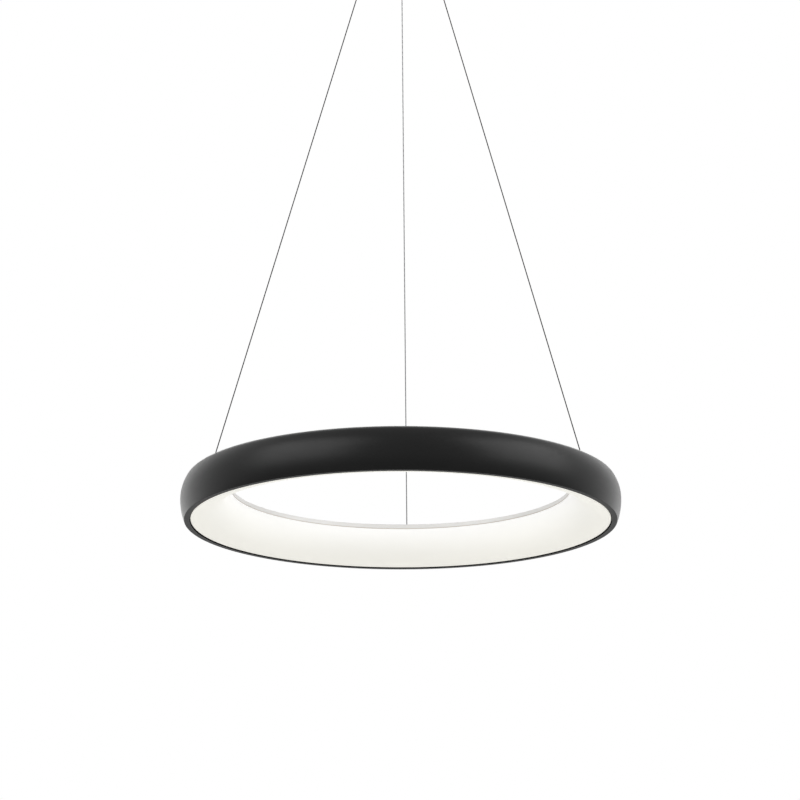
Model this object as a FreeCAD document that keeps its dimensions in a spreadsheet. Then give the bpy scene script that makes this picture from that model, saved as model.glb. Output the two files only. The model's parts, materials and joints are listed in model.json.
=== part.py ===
import FreeCAD, Part
import math
import os
import re

import Sketcher

# LED ring pendant on three thin steel wires. Millimetres, +Z up.
# The origin is where the canopy's plate meets the ceiling, so everything hangs below z = 0.
# Ring pieces are drawn about the ring's own rim plane and hung at -drop.

SIZES = {
    # ring, outside
    "drop": 874.0,             # ceiling to the ring's bottom rim
    "ring_radius": 305.0,      # widest radius of the ring
    "belt_height": 29.5,       # widest place above the rim
    "ring_height": 61.0,       # crest above the rim
    "rim_inset": 5.6,          # rim's outer edge, inside the widest radius
    "rim_width": 9.0,          # flat bottom rim
    "crest_inset": 17.5,       # crest, inside the widest radius
    "crest_round": 12.0,       # rounding beside the crest
    "band_width": 69.0,        # widest radius to the lip's inner face
    "lip_drop": 8.0,           # lip's top edge below the crest
    "lip_height": 6.2,         # visible height of the lip
    "shell_wall": 2.0,
    "groove_width": 1.2,       # shadow groove at the rim's inner edge
    "groove_depth": 1.2,
    # ring, inside
    "rebate_inset": 12.5,      # recess that takes the top cover, inside the crest
    "rebate_depth": 3.6,       # recess below the crest
    "rebate_width": 12.0,
    "flange_wall": 2.4,        # flange under the recess
    "cover_wall": 2.4,
    "lip_wall": 1.4,
    "lip_flange": 14.0,        # inward flange that the lip is screwed by
    "diffuser_wall": 2.5,
    "diffuser_step": 1.1,      # diffuser's lowest face above the rim
    "diffuser_foot": 6.5,      # diffuser's flange that rests on the rim
    "carrier_wall": 1.5,
    "carrier_inset": 11.0,     # carrier's upright leg, inside the widest radius
    "carrier_low": 16.0,       # lower end of that leg above the rim
    "carrier_setback": 5.0,    # carrier's step, inside the shell's flange
    "strip_wall": 0.4,
    "strip_width": 10.0,
    "strip_height": 34.0,      # strip's middle above the rim
    "chip_size": 3.5,
    "chip_wall": 0.8,
    "chip_count": 120,
    "clip_count": 6,
    "clip_width": 10.0,
    "clip_wall": 1.0,
    "clip_height": 22.0,
    "clip_toe": 3.0,
    "clip_finger": 6.0,
    "screw_count": 6,
    "screw_radius": 1.5,
    "screw_head_radius": 2.9,
    "screw_head_height": 1.7,
    "screw_end": 2.0,          # cover screw's end below the carrier
    "lip_screw_end": 1.3,
    # wires and their ends
    "wire_radius": 0.75,
    "anchor_inset": 4.0,       # where the wires meet the ring, inside the crest
    "anchor_stem_radius": 3.0,
    "anchor_collar_radius": 3.8,
    "anchor_collar_height": 0.8,
    "anchor_length": 20.0,
    "anchor_bore_radius": 2.0,
    "bush_wall": 1.2,
    "bush_flange_radius": 5.8,
    "washer_height": 1.6,
    "anchor_nut_flats": 10.0,
    "anchor_nut_height": 4.0,
    "crimp_radius": 1.7,
    "crimp_height": 7.0,
    "crimp_rise": 2.0,         # crimp above the anchor's lower end
    "tab_wall": 0.5,
    "tab_width": 6.0,
    "tab_eye_radius": 4.8,
    # canopy
    "canopy_radius": 80.0,
    "canopy_depth": 46.0,
    "canopy_wall": 1.5,
    "canopy_round": 9.0,
    "ceiling_gap": 0.8,        # canopy's edge below the ceiling
    "plate_inset": 8.5,        # ceiling plate's edge, inside the canopy's wall
    "plate_wall": 2.0,
    "ear_width": 16.0,
    "ear_height": 16.0,
    "ear_inside": 6.0,         # knob's shank past the ear
    "slot_spacing": 90.0,
    "slot_length": 22.0,
    "slot_width": 5.2,
    "entry_offset": 34.0,      # mains entry, from the middle towards +Y
    "grommet_bore_radius": 4.5,
    "grommet_wall": 2.5,
    "grommet_height": 5.0,
    "grommet_flange": 1.5,
    "knob_radius": 5.0,
    "knob_height": 6.0,
    "knob_stem_radius": 2.0,
    # what the canopy holds
    "driver_length": 78.0,
    "driver_width": 34.0,
    "driver_height": 23.0,
    "driver_wall": 1.6,
    "driver_offset": 33.0,     # driver's middle, from the middle towards -Y
    "driver_ear": 8.0,
    "board_wall": 1.6,
    "coil_length": 22.0,
    "coil_width": 20.0,
    "coil_height": 15.0,
    "block_length": 30.0,
    "block_width": 16.0,
    "block_height": 13.0,
    "block_pitch": 9.5,        # between neighbouring terminals
    "block_place": 3.0,        # terminal block's middle, towards +Y
    "terminal_well_radius": 2.4,
    "terminal_depth": 6.0,
    "terminal_sink": 2.0,      # terminal screws below the block's face
    "clamp_length": 30.0,
    "clamp_width": 7.0,
    "clamp_wall": 2.5,
    "clamp_gap": 6.0,          # room for the mains cable
    "clamp_foot": 2.2,
    "clamp_place": 18.5,
    "stud_radius": 2.0,
    "stud_length": 12.0,
    "earth_across": 32.0,
    "earth_flats": 7.0,
    "earth_high": 3.2,
    # wire grippers
    "gripper_inset": 19.5,     # where the wires leave the canopy, inside its wall
    "gripper_radius": 5.0,
    "gripper_below": 12.0,     # body under the canopy's floor
    "gripper_above": 13.0,
    "gripper_collar_radius": 7.5,
    "gripper_collar_height": 2.0,
    "gripper_lip": 1.2,
    "gripper_nut_flats": 13.0,
    "gripper_nut_height": 3.0,
    "gripper_shoulder_drop": 4.0,   # plunger's seat below the canopy
    "cone_flare": 1.0,         # taper that the balls wedge in: its wide end beyond the button
    "cap_height": 3.0,
    "plunger_wall": 1.45,      # button's wall round the wire
    "plunger_head_radius": 3.6,
    "plunger_head_height": 3.2,
    "plunger_out": 4.0,        # button below the gripper's mouth
    "plunger_edge": 0.4,
    "ball_count": 3,
    "ball_radius": 0.8,
    "ball_rise": 1.8,          # balls above the gripper's lip
    "spring_wire_radius": 0.35,       # radius
    "spring_radius": 2.8,
    "spring_turns": 5,
    "stop_height": 5.0,        # crimp on the wire's upper end
    "wire_lead": 1.2,          # wire runs straight this far out of a mouth, then turns
    "wire_bend": 6.0,
    # clearances
    "gap": 0.3,
    "fit_gap": 0.15,
    "slide_gap": 0.08,
    "cut_past": 1.0,           # holes are cut this far past their faces
}

ANCHOR_ANGLES = {"rear": 90.0, "left": 210.0, "right": 330.0}
FEED_SIDES = {"left": "feed_tab_positive", "right": "feed_tab_negative"}
FIRST_SCREW = 30.0             # angle of the first of the ring's screws

# Sizes that follow from the ones above, as formulas of the same sheet.
DERIVED = {
    "crest_radius": "ring_radius - crest_inset",
    "crest_rise": "ring_height - belt_height",
    "rim_outer": "ring_radius - rim_inset",
    "lip_radius": "ring_radius - band_width",
    "rebate_radius": "crest_radius - rebate_inset",
    "carrier_radius": "ring_radius - carrier_inset",
    "anchor_radius": "crest_radius - anchor_inset",
    "rim_inner": "ring_radius - rim_inset - rim_width",
    # round of the wall under the belt: it starts upright at the belt and ends at the rim's edge
    "under_round": "(rim_inset ^ 2 + belt_height ^ 2) / (2 * rim_inset)",
    # round of the wall over the belt: upright at the belt, and it meets the crest's rounding smoothly
    "over_round": "(crest_inset ^ 2 + crest_rise ^ 2 - 2 * crest_rise * crest_round)"
                  " / (2 * (crest_inset - crest_round))",
    "join_across": "(over_round - crest_inset) / (over_round - crest_round)",
    "join_up": "(crest_rise - crest_round) / (over_round - crest_round)",
    "shell_crest_round": "crest_round - shell_wall",
    "shell_foot": "ring_radius - under_round"
                  " + sqrt((under_round - shell_wall) ^ 2 - (belt_height - shell_wall) ^ 2)",
    # the top falls from the crest to the lip in one arc about the point under the crest
    "lip_outer": "lip_radius + lip_wall",
    "lip_top": "ring_height - lip_drop",
    "top_round": "((crest_radius - lip_outer) ^ 2 + (ring_height - lip_top) ^ 2)"
                 " / (2 * (ring_height - lip_top))",
    "top_centre": "ring_height - top_round",
    "seat_height": "ring_height - rebate_depth",
    "flange_low": "seat_height - flange_wall",
    "seat_inner": "rebate_radius - rebate_width",
    "knee_radius": "rebate_radius + flange_wall",
    "cover_outer": "rebate_radius - gap",
    "cover_inner": "lip_outer + gap",
    "screw_circle": "rebate_radius - rebate_width / 2",
    "screw_top": "seat_height + cover_wall - gap",
    # quarter-round diffuser from the rim up to the lip
    "diffuser_top": "lip_top - lip_height - gap",
    "diffuser_edge": "rim_inner - 2 * gap",
    "diffuser_rise": "diffuser_top - diffuser_step",
    "diffuser_round": "((diffuser_edge - lip_radius) ^ 2 + diffuser_rise ^ 2) / (2 * diffuser_rise)",
    "diffuser_centre": "diffuser_step + diffuser_round",
    "lip_low": "diffuser_top + gap",
    "lip_shelf": "lip_low + lip_wall",
    "lip_screw_circle": "lip_outer + lip_flange / 2",
    # carrier's upper step lies under the rebate's flange, its lower step on the lip's flange
    "carrier_inner": "lip_outer + 5 * gap",
    "carrier_step": "seat_inner - carrier_setback",
    "carrier_bore": "carrier_radius - carrier_wall",
    "roof_low": "flange_low - carrier_wall",
    "strip_outer": "carrier_bore - fit_gap",
    "chip_outer": "strip_outer - strip_wall - fit_gap",
    # wire anchors, from the collar down
    "bush_bore": "anchor_stem_radius + fit_gap",
    "bush_radius": "bush_bore + bush_wall",
    "anchor_low": "ring_height + anchor_collar_height - anchor_length",
    "crimp_low": "anchor_low + crimp_rise",
    "washer_low": "roof_low - washer_height",
    "wire_bore": "wire_radius + 2 * fit_gap",
    # canopy, from its floor up
    "canopy_inner": "canopy_radius - canopy_wall",
    "plate_radius": "canopy_inner - plate_inset",
    "gripper_circle": "canopy_inner - gripper_inset",
    "canopy_high": "canopy_depth - ceiling_gap",
    "ear_reach": "sqrt((canopy_inner - gap) ^ 2 - (ear_width / 2) ^ 2)",
    "knob_drop": "(ear_height + plate_wall) / 2",
    "driver_screw_across": "(driver_length + driver_ear) / 2",
    "clamp_screw_across": "clamp_length / 2 - clamp_foot",
    # grippers, from their mouths up
    "gripper_length": "gripper_below + canopy_wall + gripper_above",
    "plunger_radius": "wire_radius + plunger_wall",
    "gripper_cone_radius": "plunger_radius + cone_flare",
    "gripper_mouth": "plunger_radius + slide_gap",
    "gripper_bore": "plunger_head_radius + slide_gap",
    "mouth_place": "-(canopy_depth + gripper_below)",
    "shoulder_height": "gripper_below - gripper_shoulder_drop",
    "head_low": "shoulder_height + gap",
    "head_high": "head_low + plunger_head_height",
    "cap_low": "gripper_length - cap_height",
    "ball_height": "gripper_lip + ball_rise",
    "ball_circle": "wire_radius + ball_radius + slide_gap",
    "spring_low": "head_high + gap",
    "spring_high": "cap_low - gap",
    # where the wires turn, at the ring and under the grippers
    "wire_turn_low": "ring_height + anchor_collar_height + wire_lead - drop",
    "wire_turn_high": "-(canopy_depth + gripper_below + plunger_out + wire_lead)",
    "stop_low": "canopy_wall + gripper_above - canopy_depth + gap",
}


# ---- document, sheet and expressions -------------------------------------------------------

doc = FreeCAD.newDocument("ring_pendant")
sheet = doc.addObject("Spreadsheet::Sheet", "sizes")
sheet_row = 0


def add_cell(alias, text):
    """Write one named cell of the sheet."""
    global sheet_row
    sheet_row += 1
    sheet.set(f"A{sheet_row}", alias)
    sheet.set(f"B{sheet_row}", text)
    sheet.setAlias(f"B{sheet_row}", alias)


for alias, size in SIZES.items():
    add_cell(alias, str(size))
for alias, formula in DERIVED.items():
    add_cell(alias, "=" + formula)
doc.recompute()

NAMES = re.compile(r"\b(" + "|".join([*SIZES, *DERIVED]) + r")\b")
parts = {}


def on_sheet(text):
    """The expression with each alias written as a cell of the sheet."""
    return NAMES.sub(r"sizes.\1", str(text))


def value(text):
    """The number that an expression gives now."""
    return float(sheet.evalExpression(on_sheet(text)))


def bind(thing, **expressions):
    """Bind properties to the sheet; a double underscore stands for the dot in a property's path."""
    for path, text in expressions.items():
        thing.setExpression(path.replace("__", "."), on_sheet(text))


def place(thing, x="0", y="0", z="0", angle=0.0, axis=(0, 0, 1)):
    """Turn a feature about an axis through its origin and move it to a place given by expressions."""
    thing.Placement = FreeCAD.Placement(FreeCAD.Vector(), FreeCAD.Rotation(FreeCAD.Vector(*axis), angle))
    bind(thing, Placement__Base__x=x, Placement__Base__y=y, Placement__Base__z=z)
    return thing


def keep(thing, label):
    """Register a feature as one of the object's pieces."""
    thing.Label = label
    parts[label] = thing
    return thing


# ---- sketches and bodies -------------------------------------------------------------------

def new_body(label):
    return doc.addObject("PartDesign::Body", label + "_body")


def origin_feature(body, role):
    return next(f for f in body.Origin.OriginFeatures if f.Role == role)


def new_sketch(body, name, plane):
    sketch = body.newObject("Sketcher::SketchObject", name)
    sketch.AttachmentSupport = (origin_feature(body, plane), [""])
    sketch.MapMode = "FlatFace"
    return sketch


def arc_through(start, end, radius, turn):
    """Arc under a half circle between two points; turn is 1 counterclockwise and -1 clockwise."""
    middle = (start + end) * 0.5
    chord = end - start
    side = FreeCAD.Vector(-chord.y, chord.x, 0) * (turn / chord.Length)
    centre = middle + side * math.sqrt(max(radius ** 2 - (chord.Length / 2) ** 2, 0))
    first, last = (start, end) if turn > 0 else (end, start)
    angles = [math.atan2(point.y - centre.y, point.x - centre.x) for point in (first, last)]
    return Part.ArcOfCircle(Part.Circle(centre, FreeCAD.Vector(0, 0, 1), radius), *angles)


def draw_outline(sketch, path):
    """Closed outline. Each step is (x, y), or (x, y, radius, turn) where an arc leads to the point."""
    points = [FreeCAD.Vector(value(step[0]), value(step[1]), 0) for step in path]
    starts, ends = [], []
    for index, step in enumerate(path):
        start, end = points[index - 1], points[index]
        if len(step) == 2:
            edge = sketch.addGeometry(Part.LineSegment(start, end))
            starts.append((edge, 1))
            ends.append((edge, 2))
            continue
        edge = sketch.addGeometry(arc_through(start, end, value(step[2]), step[3]))
        starts.append((edge, 1 if step[3] > 0 else 2))
        ends.append((edge, 2 if step[3] > 0 else 1))
        size = sketch.addConstraint(Sketcher.Constraint("Radius", edge, value(step[2])))
        sketch.setExpression(f"Constraints[{size}]", on_sheet(step[2]))
    for index, step in enumerate(path):
        following = starts[(index + 1) % len(path)]
        sketch.addConstraint(Sketcher.Constraint("Coincident", *ends[index], *following))
        for kind, text, number in (("DistanceX", step[0], points[index].x),
                                   ("DistanceY", step[1], points[index].y)):
            size = sketch.addConstraint(Sketcher.Constraint(kind, -1, 1, *ends[index], number))
            sketch.setExpression(f"Constraints[{size}]", on_sheet(text))


def turned(label, path, body=None):
    """Body of an outline in (radius, height) turned a full circle about Z."""
    body = body or new_body(label)
    sketch = new_sketch(body, label + "_outline", "XZ_Plane")
    draw_outline(sketch, path)
    revolution = body.newObject("PartDesign::Revolution", label + "_turn")
    revolution.Profile = (sketch, [""])
    revolution.ReferenceAxis = (sketch, ["V_Axis"])
    revolution.Angle = 360
    doc.recompute()
    return body


def drilled(body, label, radius, circle, low, high, count="1", angle=0.0):
    """Round holes on a circle about Z, cut from one height to the other."""
    before = body.Shape.Volume
    sketch = new_sketch(body, label + "_place", "XY_Plane")
    sketch.AttachmentOffset = FreeCAD.Placement(
        FreeCAD.Vector(), FreeCAD.Rotation(FreeCAD.Vector(0, 0, 1), angle))
    bind(sketch, AttachmentOffset__Base__z=f"({low} + {high}) / 2")
    at = FreeCAD.Vector(value(circle), 0, 0)
    sketch.addGeometry(Part.Circle(at, FreeCAD.Vector(0, 0, 1), value(radius)))
    sketch.addConstraint(Sketcher.Constraint("PointOnObject", 0, 3, -1))
    for number, (kind, where, text) in enumerate((("DistanceX", (-1, 1, 0, 3), circle),
                                                  ("Radius", (0,), radius)), start=1):
        sketch.addConstraint(Sketcher.Constraint(kind, *where, value(text)))
        sketch.setExpression(f"Constraints[{number}]", on_sheet(text))
    pocket = body.newObject("PartDesign::Pocket", label)
    pocket.Profile = (sketch, [""])
    pocket.SideType = "Symmetric"
    bind(pocket, Length=f"{high} - ({low})")
    if value(count) > 1:
        pattern = body.newObject("PartDesign::PolarPattern", label + "_round")
        pattern.Originals = [pocket]
        pattern.Axis = (origin_feature(body, "Z_Axis"), [""])
        pattern.Angle = 360
        bind(pattern, Occurrences=count)
        body.Tip = pattern
    doc.recompute()
    assert body.Shape.Volume < before, f"{label} cuts nothing"
    return body


# ---- primitives ----------------------------------------------------------------------------

def rod(name, radius, height, x="0", y="0", z="0", angle=0.0, axis=(0, 0, 1)):
    """Cylinder standing on its place, or lying when it is turned about an axis."""
    cylinder = doc.addObject("Part::Cylinder", name)
    bind(cylinder, Radius=radius, Height=height)
    return place(cylinder, x, y, z, angle, axis)


def block(name, length, width, height, x="0", y="0", z="0"):
    """Box centred on x and y, standing on z."""
    box = doc.addObject("Part::Box", name)
    bind(box, Length=length, Width=width, Height=height)
    return place(box, f"{x} - ({length}) / 2", f"{y} - ({width}) / 2", z)


def united(name, *things):
    fusion = doc.addObject("Part::MultiFuse", name)
    fusion.Shapes = list(things)
    return fusion


def grouped(name, *things):
    """Separate solids that share one node."""
    compound = doc.addObject("Part::Compound", name)
    compound.Links = list(things)
    return compound


def cut_by(name, base, *tools):
    difference = doc.addObject("Part::Cut", name)
    difference.Base = base
    difference.Tool = tools[0] if len(tools) == 1 else united(name + "_tools", *tools)
    return difference


def hex_nut(name, flats, height, bore, x, y, z):
    """Six-sided nut with a round bore, standing on its place."""
    prism = doc.addObject("Part::Prism", name + "_blank")
    prism.Polygon = 6
    bind(prism, Circumradius=f"{flats} / sqrt(3)", Height=height)
    place(prism, x, y, z)
    return cut_by(name, prism, rod(name + "_bore", bore, height, x, y, z))


def solid(name, shape):
    """Feature that holds a shape made from the sheet's sizes."""
    feature = doc.addObject("Part::Feature", name)
    feature.Shape = shape
    return feature


def spread(name, thing, circle, z, angles):
    """Copies of one piece on a circle about Z, each turned to face outwards."""
    doc.recompute()
    copies = []
    for angle in angles:
        turn = FreeCAD.Rotation(FreeCAD.Vector(0, 0, 1), angle)
        copy = thing.Shape.copy()
        out = turn.multVec(FreeCAD.Vector(value(circle), 0, value(z)))
        copy.Placement = FreeCAD.Placement(out, turn).multiply(copy.Placement)
        copies.append(copy)
    return solid(name, Part.makeCompound(copies))


def on_circle(circle, angle):
    """Expressions for a place on a circle about Z."""
    return f"{circle} * cos({angle} deg)", f"{circle} * sin({angle} deg)"


def round_angles(count, first=0.0):
    number = int(value(count))
    return [first + 360.0 * index / number for index in range(number)]


# ---- ring ----------------------------------------------------------------------------------

def top_at(radius, sink="0"):
    """Height of the ring's top at a radius, or of the concentric face sunk below it."""
    return f"top_centre + sqrt((top_round - {sink}) ^ 2 - (crest_radius - ({radius})) ^ 2)"


def hang(thing):
    """Move a piece drawn above the rim plane to where the ring hangs."""
    return place(thing, z="-drop")


def ring_shell():
    body = turned("ring_shell", [
        ("rim_inner", "groove_depth"),
        ("rim_inner + groove_width", "groove_depth"),
        ("rim_inner + groove_width", "0"),
        ("rim_outer", "0"),
        ("ring_radius", "belt_height", "under_round", 1),
        ("crest_radius + crest_round * join_across",
         "ring_height - crest_round + crest_round * join_up", "over_round", 1),
        ("crest_radius", "ring_height", "crest_round", 1),
        ("rebate_radius", top_at("rebate_radius"), "top_round", 1),
        ("rebate_radius", "seat_height"),
        ("seat_inner", "seat_height"),
        ("seat_inner", "flange_low"),
        ("knee_radius", "flange_low"),
        ("knee_radius", top_at("knee_radius", "shell_wall")),
        ("crest_radius", "ring_height - shell_wall", "top_round - shell_wall", -1),
        ("crest_radius + shell_crest_round * join_across",
         "ring_height - crest_round + shell_crest_round * join_up", "shell_crest_round", -1),
        ("ring_radius - shell_wall", "belt_height", "over_round - shell_wall", -1),
        ("shell_foot", "shell_wall", "under_round - shell_wall", -1),
        ("rim_inner", "shell_wall"),
    ])
    drilled(body, "shell_screw_holes", "screw_radius + fit_gap", "screw_circle",
            "flange_low - cut_past", "seat_height + cut_past", "screw_count", FIRST_SCREW)
    drilled(body, "shell_anchor_holes", "bush_radius + fit_gap", "anchor_radius",
            "flange_low + cut_past", "ring_height + cut_past", "3", ANCHOR_ANGLES["rear"])
    keep(hang(body), "ring_shell")


def top_cover():
    body = turned("top_cover", [
        ("cover_outer", "seat_height"),
        ("cover_outer", top_at("cover_outer")),
        ("cover_inner", top_at("cover_inner"), "top_round", 1),
        ("cover_inner", top_at("cover_inner", "cover_wall")),
        ("seat_inner - gap", top_at("seat_inner - gap", "cover_wall"), "top_round - cover_wall", -1),
        ("seat_inner - gap", "seat_height"),
    ])
    drilled(body, "cover_screw_holes", "screw_radius + fit_gap", "screw_circle",
            "seat_height - cut_past", "ring_height", "screw_count", FIRST_SCREW)
    drilled(body, "cover_head_holes", "screw_head_radius + fit_gap", "screw_circle",
            "screw_top - screw_head_height", "ring_height", "screw_count", FIRST_SCREW)
    keep(hang(body), "top_cover")


def diffuser():
    body = turned("diffuser", [
        ("diffuser_edge", "diffuser_step", "diffuser_round", 1),
        ("diffuser_edge", "shell_wall"),
        ("rim_inner + diffuser_foot", "shell_wall"),
        ("rim_inner + diffuser_foot", "diffuser_step + diffuser_wall"),
        ("diffuser_edge", "diffuser_step + diffuser_wall"),
        ("diffuser_edge - sqrt((diffuser_round - diffuser_wall) ^ 2"
         " - (diffuser_centre - diffuser_top) ^ 2)", "diffuser_top", "diffuser_round - diffuser_wall", -1),
        ("lip_radius", "diffuser_top"),
    ])
    keep(hang(body), "diffuser")


def lip_ring():
    body = turned("lip_ring", [
        ("lip_radius", "lip_low"),
        ("lip_outer + lip_flange", "lip_low"),
        ("lip_outer + lip_flange", "lip_shelf"),
        ("lip_outer", "lip_shelf"),
        ("lip_outer", "lip_top"),
        ("lip_radius", "lip_top"),
    ])
    drilled(body, "lip_screw_holes", "screw_radius + fit_gap", "lip_screw_circle",
            "lip_low - cut_past", "lip_shelf + cut_past", "screw_count", FIRST_SCREW)
    keep(hang(body), "lip_ring")


def led_carrier():
    """Two-stepped ring: upright leg for the strip, roof under the shell's flange, step on the lip's."""
    body = turned("led_carrier", [
        ("carrier_bore", "carrier_low"),
        ("carrier_radius", "carrier_low"),
        ("carrier_radius", "flange_low"),
        ("carrier_step", "flange_low"),
        ("carrier_step", "lip_shelf + carrier_wall"),
        ("carrier_inner", "lip_shelf + carrier_wall"),
        ("carrier_inner", "lip_shelf"),
        ("carrier_step + carrier_wall", "lip_shelf"),
        ("carrier_step + carrier_wall", "roof_low"),
        ("carrier_bore", "roof_low"),
    ])
    drilled(body, "roof_screw_holes", "screw_radius + fit_gap", "screw_circle",
            "roof_low - cut_past", "flange_low + cut_past", "screw_count", FIRST_SCREW)
    drilled(body, "step_screw_holes", "screw_radius + fit_gap", "lip_screw_circle",
            "lip_shelf - cut_past", "lip_shelf + carrier_wall + cut_past", "screw_count", FIRST_SCREW)
    drilled(body, "roof_anchor_holes", "bush_radius", "anchor_radius",
            "roof_low - cut_past", "flange_low + cut_past", "3", ANCHOR_ANGLES["rear"])
    keep(hang(body), "led_carrier")


def led_strip():
    body = turned("led_strip", [
        ("strip_outer - strip_wall", "strip_height - strip_width / 2"),
        ("strip_outer", "strip_height - strip_width / 2"),
        ("strip_outer", "strip_height + strip_width / 2"),
        ("strip_outer - strip_wall", "strip_height + strip_width / 2"),
    ])
    keep(hang(body), "led_strip")
    chip = block("led_chip", "chip_wall", "chip_size", "chip_size")
    chips = spread("chips_round", chip, "chip_outer - chip_wall / 2", "strip_height - chip_size / 2",
                   round_angles("chip_count"))
    keep(hang(chips), "led_chips")


def diffuser_clips():
    """Clips hooked on the carrier's leg; their toes hold the diffuser's foot down on the rim."""
    foot = "diffuser_step + diffuser_wall + gap"
    leg = block("clip_leg", "clip_wall", "clip_width", "clip_height",
                "carrier_radius + gap + clip_wall / 2", "0", foot)
    toe = block("clip_toe", "clip_toe + clip_wall", "clip_width", "clip_wall",
                "carrier_radius + gap + clip_wall - (clip_toe + clip_wall) / 2", "0", foot)
    hook = block("clip_hook", "carrier_wall + 2 * gap + 2 * clip_wall", "clip_width", "clip_wall",
                 "carrier_radius - carrier_wall / 2", "0", "carrier_low - gap - clip_wall")
    finger = block("clip_finger", "clip_wall", "clip_width", "clip_finger",
                   "carrier_bore - gap - clip_wall / 2", "0", "carrier_low - gap - clip_wall")
    clip = united("clip", leg, toe, hook, finger)
    clips = spread("clips_round", clip, "0", "0", round_angles("clip_count"))
    keep(hang(clips), "diffuser_clips")


def ring_screws():
    cover_screw = turned("cover_screw", [
        ("0", "roof_low - screw_end"),
        ("screw_radius", "roof_low - screw_end"),
        ("screw_radius", "screw_top - screw_head_height"),
        ("screw_head_radius", "screw_top - screw_head_height"),
        ("screw_head_radius", "screw_top"),
        ("0", "screw_top"),
    ])
    lip_screw = turned("lip_screw", [
        ("0", "lip_low - screw_head_height"),
        ("screw_head_radius", "lip_low - screw_head_height"),
        ("screw_head_radius", "lip_low"),
        ("screw_radius", "lip_low"),
        ("screw_radius", "lip_shelf + carrier_wall + lip_screw_end"),
        ("0", "lip_shelf + carrier_wall + lip_screw_end"),
    ])
    angles = round_angles("screw_count", FIRST_SCREW)
    keep(hang(spread("cover_screws_round", cover_screw, "screw_circle", "0", angles)), "cover_screws")
    keep(hang(spread("lip_screws_round", lip_screw, "lip_screw_circle", "0", angles)), "lip_screws")


def wire_anchors():
    """Anchors, with the bushes, washers, nuts and crimps that hold the wires to the ring."""
    shoulder = "crimp_low + crimp_height"
    for side, angle in ANCHOR_ANGLES.items():
        label = "wire_anchor_" + side
        anchor = turned(label, [
            ("anchor_bore_radius", "anchor_low"),
            ("anchor_stem_radius", "anchor_low"),
            ("anchor_stem_radius", "ring_height"),
            ("anchor_collar_radius", "ring_height"),
            ("anchor_collar_radius", "ring_height + anchor_collar_height"),
            ("wire_bore", "ring_height + anchor_collar_height"),
            ("wire_bore", shoulder),
            ("anchor_bore_radius", shoulder),
        ])
        keep(place(anchor, *on_circle("anchor_radius", angle), "-drop"), label)
    bush = turned("anchor_bush", [
        ("bush_bore", "flange_low"),
        ("bush_flange_radius", "flange_low"),
        ("bush_flange_radius", "ring_height - shell_wall - 2 * gap"),
        ("bush_radius", "ring_height - shell_wall - 2 * gap"),
        ("bush_radius", "ring_height"),
        ("bush_bore", "ring_height"),
    ])
    washer = turned("anchor_washer", [
        ("bush_bore", "washer_low"),
        ("bush_flange_radius", "washer_low"),
        ("bush_flange_radius", "roof_low"),
        ("bush_bore", "roof_low"),
    ])
    crimp = turned("wire_crimp", [
        ("wire_radius + fit_gap", "crimp_low"),
        ("crimp_radius", "crimp_low"),
        ("crimp_radius", shoulder),
        ("wire_radius + fit_gap", shoulder),
    ])
    angles = ANCHOR_ANGLES.values()
    for label, piece in (("anchor_bushes", bush), ("anchor_washers", washer), ("wire_crimps", crimp)):
        keep(hang(spread(label + "_round", piece, "anchor_radius", "0", angles)), label)
    nuts = []
    for side, angle in ANCHOR_ANGLES.items():
        under = "tab_wall" if side in FEED_SIDES else "0"
        nuts.append(hex_nut("anchor_nut_" + side, "anchor_nut_flats", "anchor_nut_height", "bush_bore",
                            *on_circle("anchor_radius", angle),
                            f"washer_low - anchor_nut_height - {under}"))
    keep(hang(grouped("anchor_nuts_all", *nuts)), "anchor_nuts")


def feed_tabs():
    """Brass tabs that take the low voltage from two anchors to the strip's upper edge."""
    reach = "strip_outer - strip_wall - fit_gap"
    high = "washer_low"
    eye = rod("tab_eye", "tab_eye_radius", "tab_wall", "anchor_radius", "0", f"{high} - tab_wall")
    arm = block("tab_arm", f"{reach} - anchor_radius", "tab_width", "tab_wall",
                f"(anchor_radius + {reach}) / 2", "0", f"{high} - tab_wall")
    tongue = block("tab_tongue", "tab_wall", "tab_width", f"{high} - strip_height - chip_size",
                   f"{reach} - tab_wall / 2", "0", "strip_height + chip_size")
    blank = united("tab_blank", eye, arm, tongue)
    hole = rod("tab_hole", "bush_bore", "3 * tab_wall", "anchor_radius", "0", f"{high} - 2 * tab_wall")
    tab = cut_by("feed_tab", blank, hole)
    for side, label in FEED_SIDES.items():
        keep(hang(spread(label + "_turned", tab, "0", "0", [ANCHOR_ANGLES[side]])), label)


# ---- canopy --------------------------------------------------------------------------------

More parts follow.
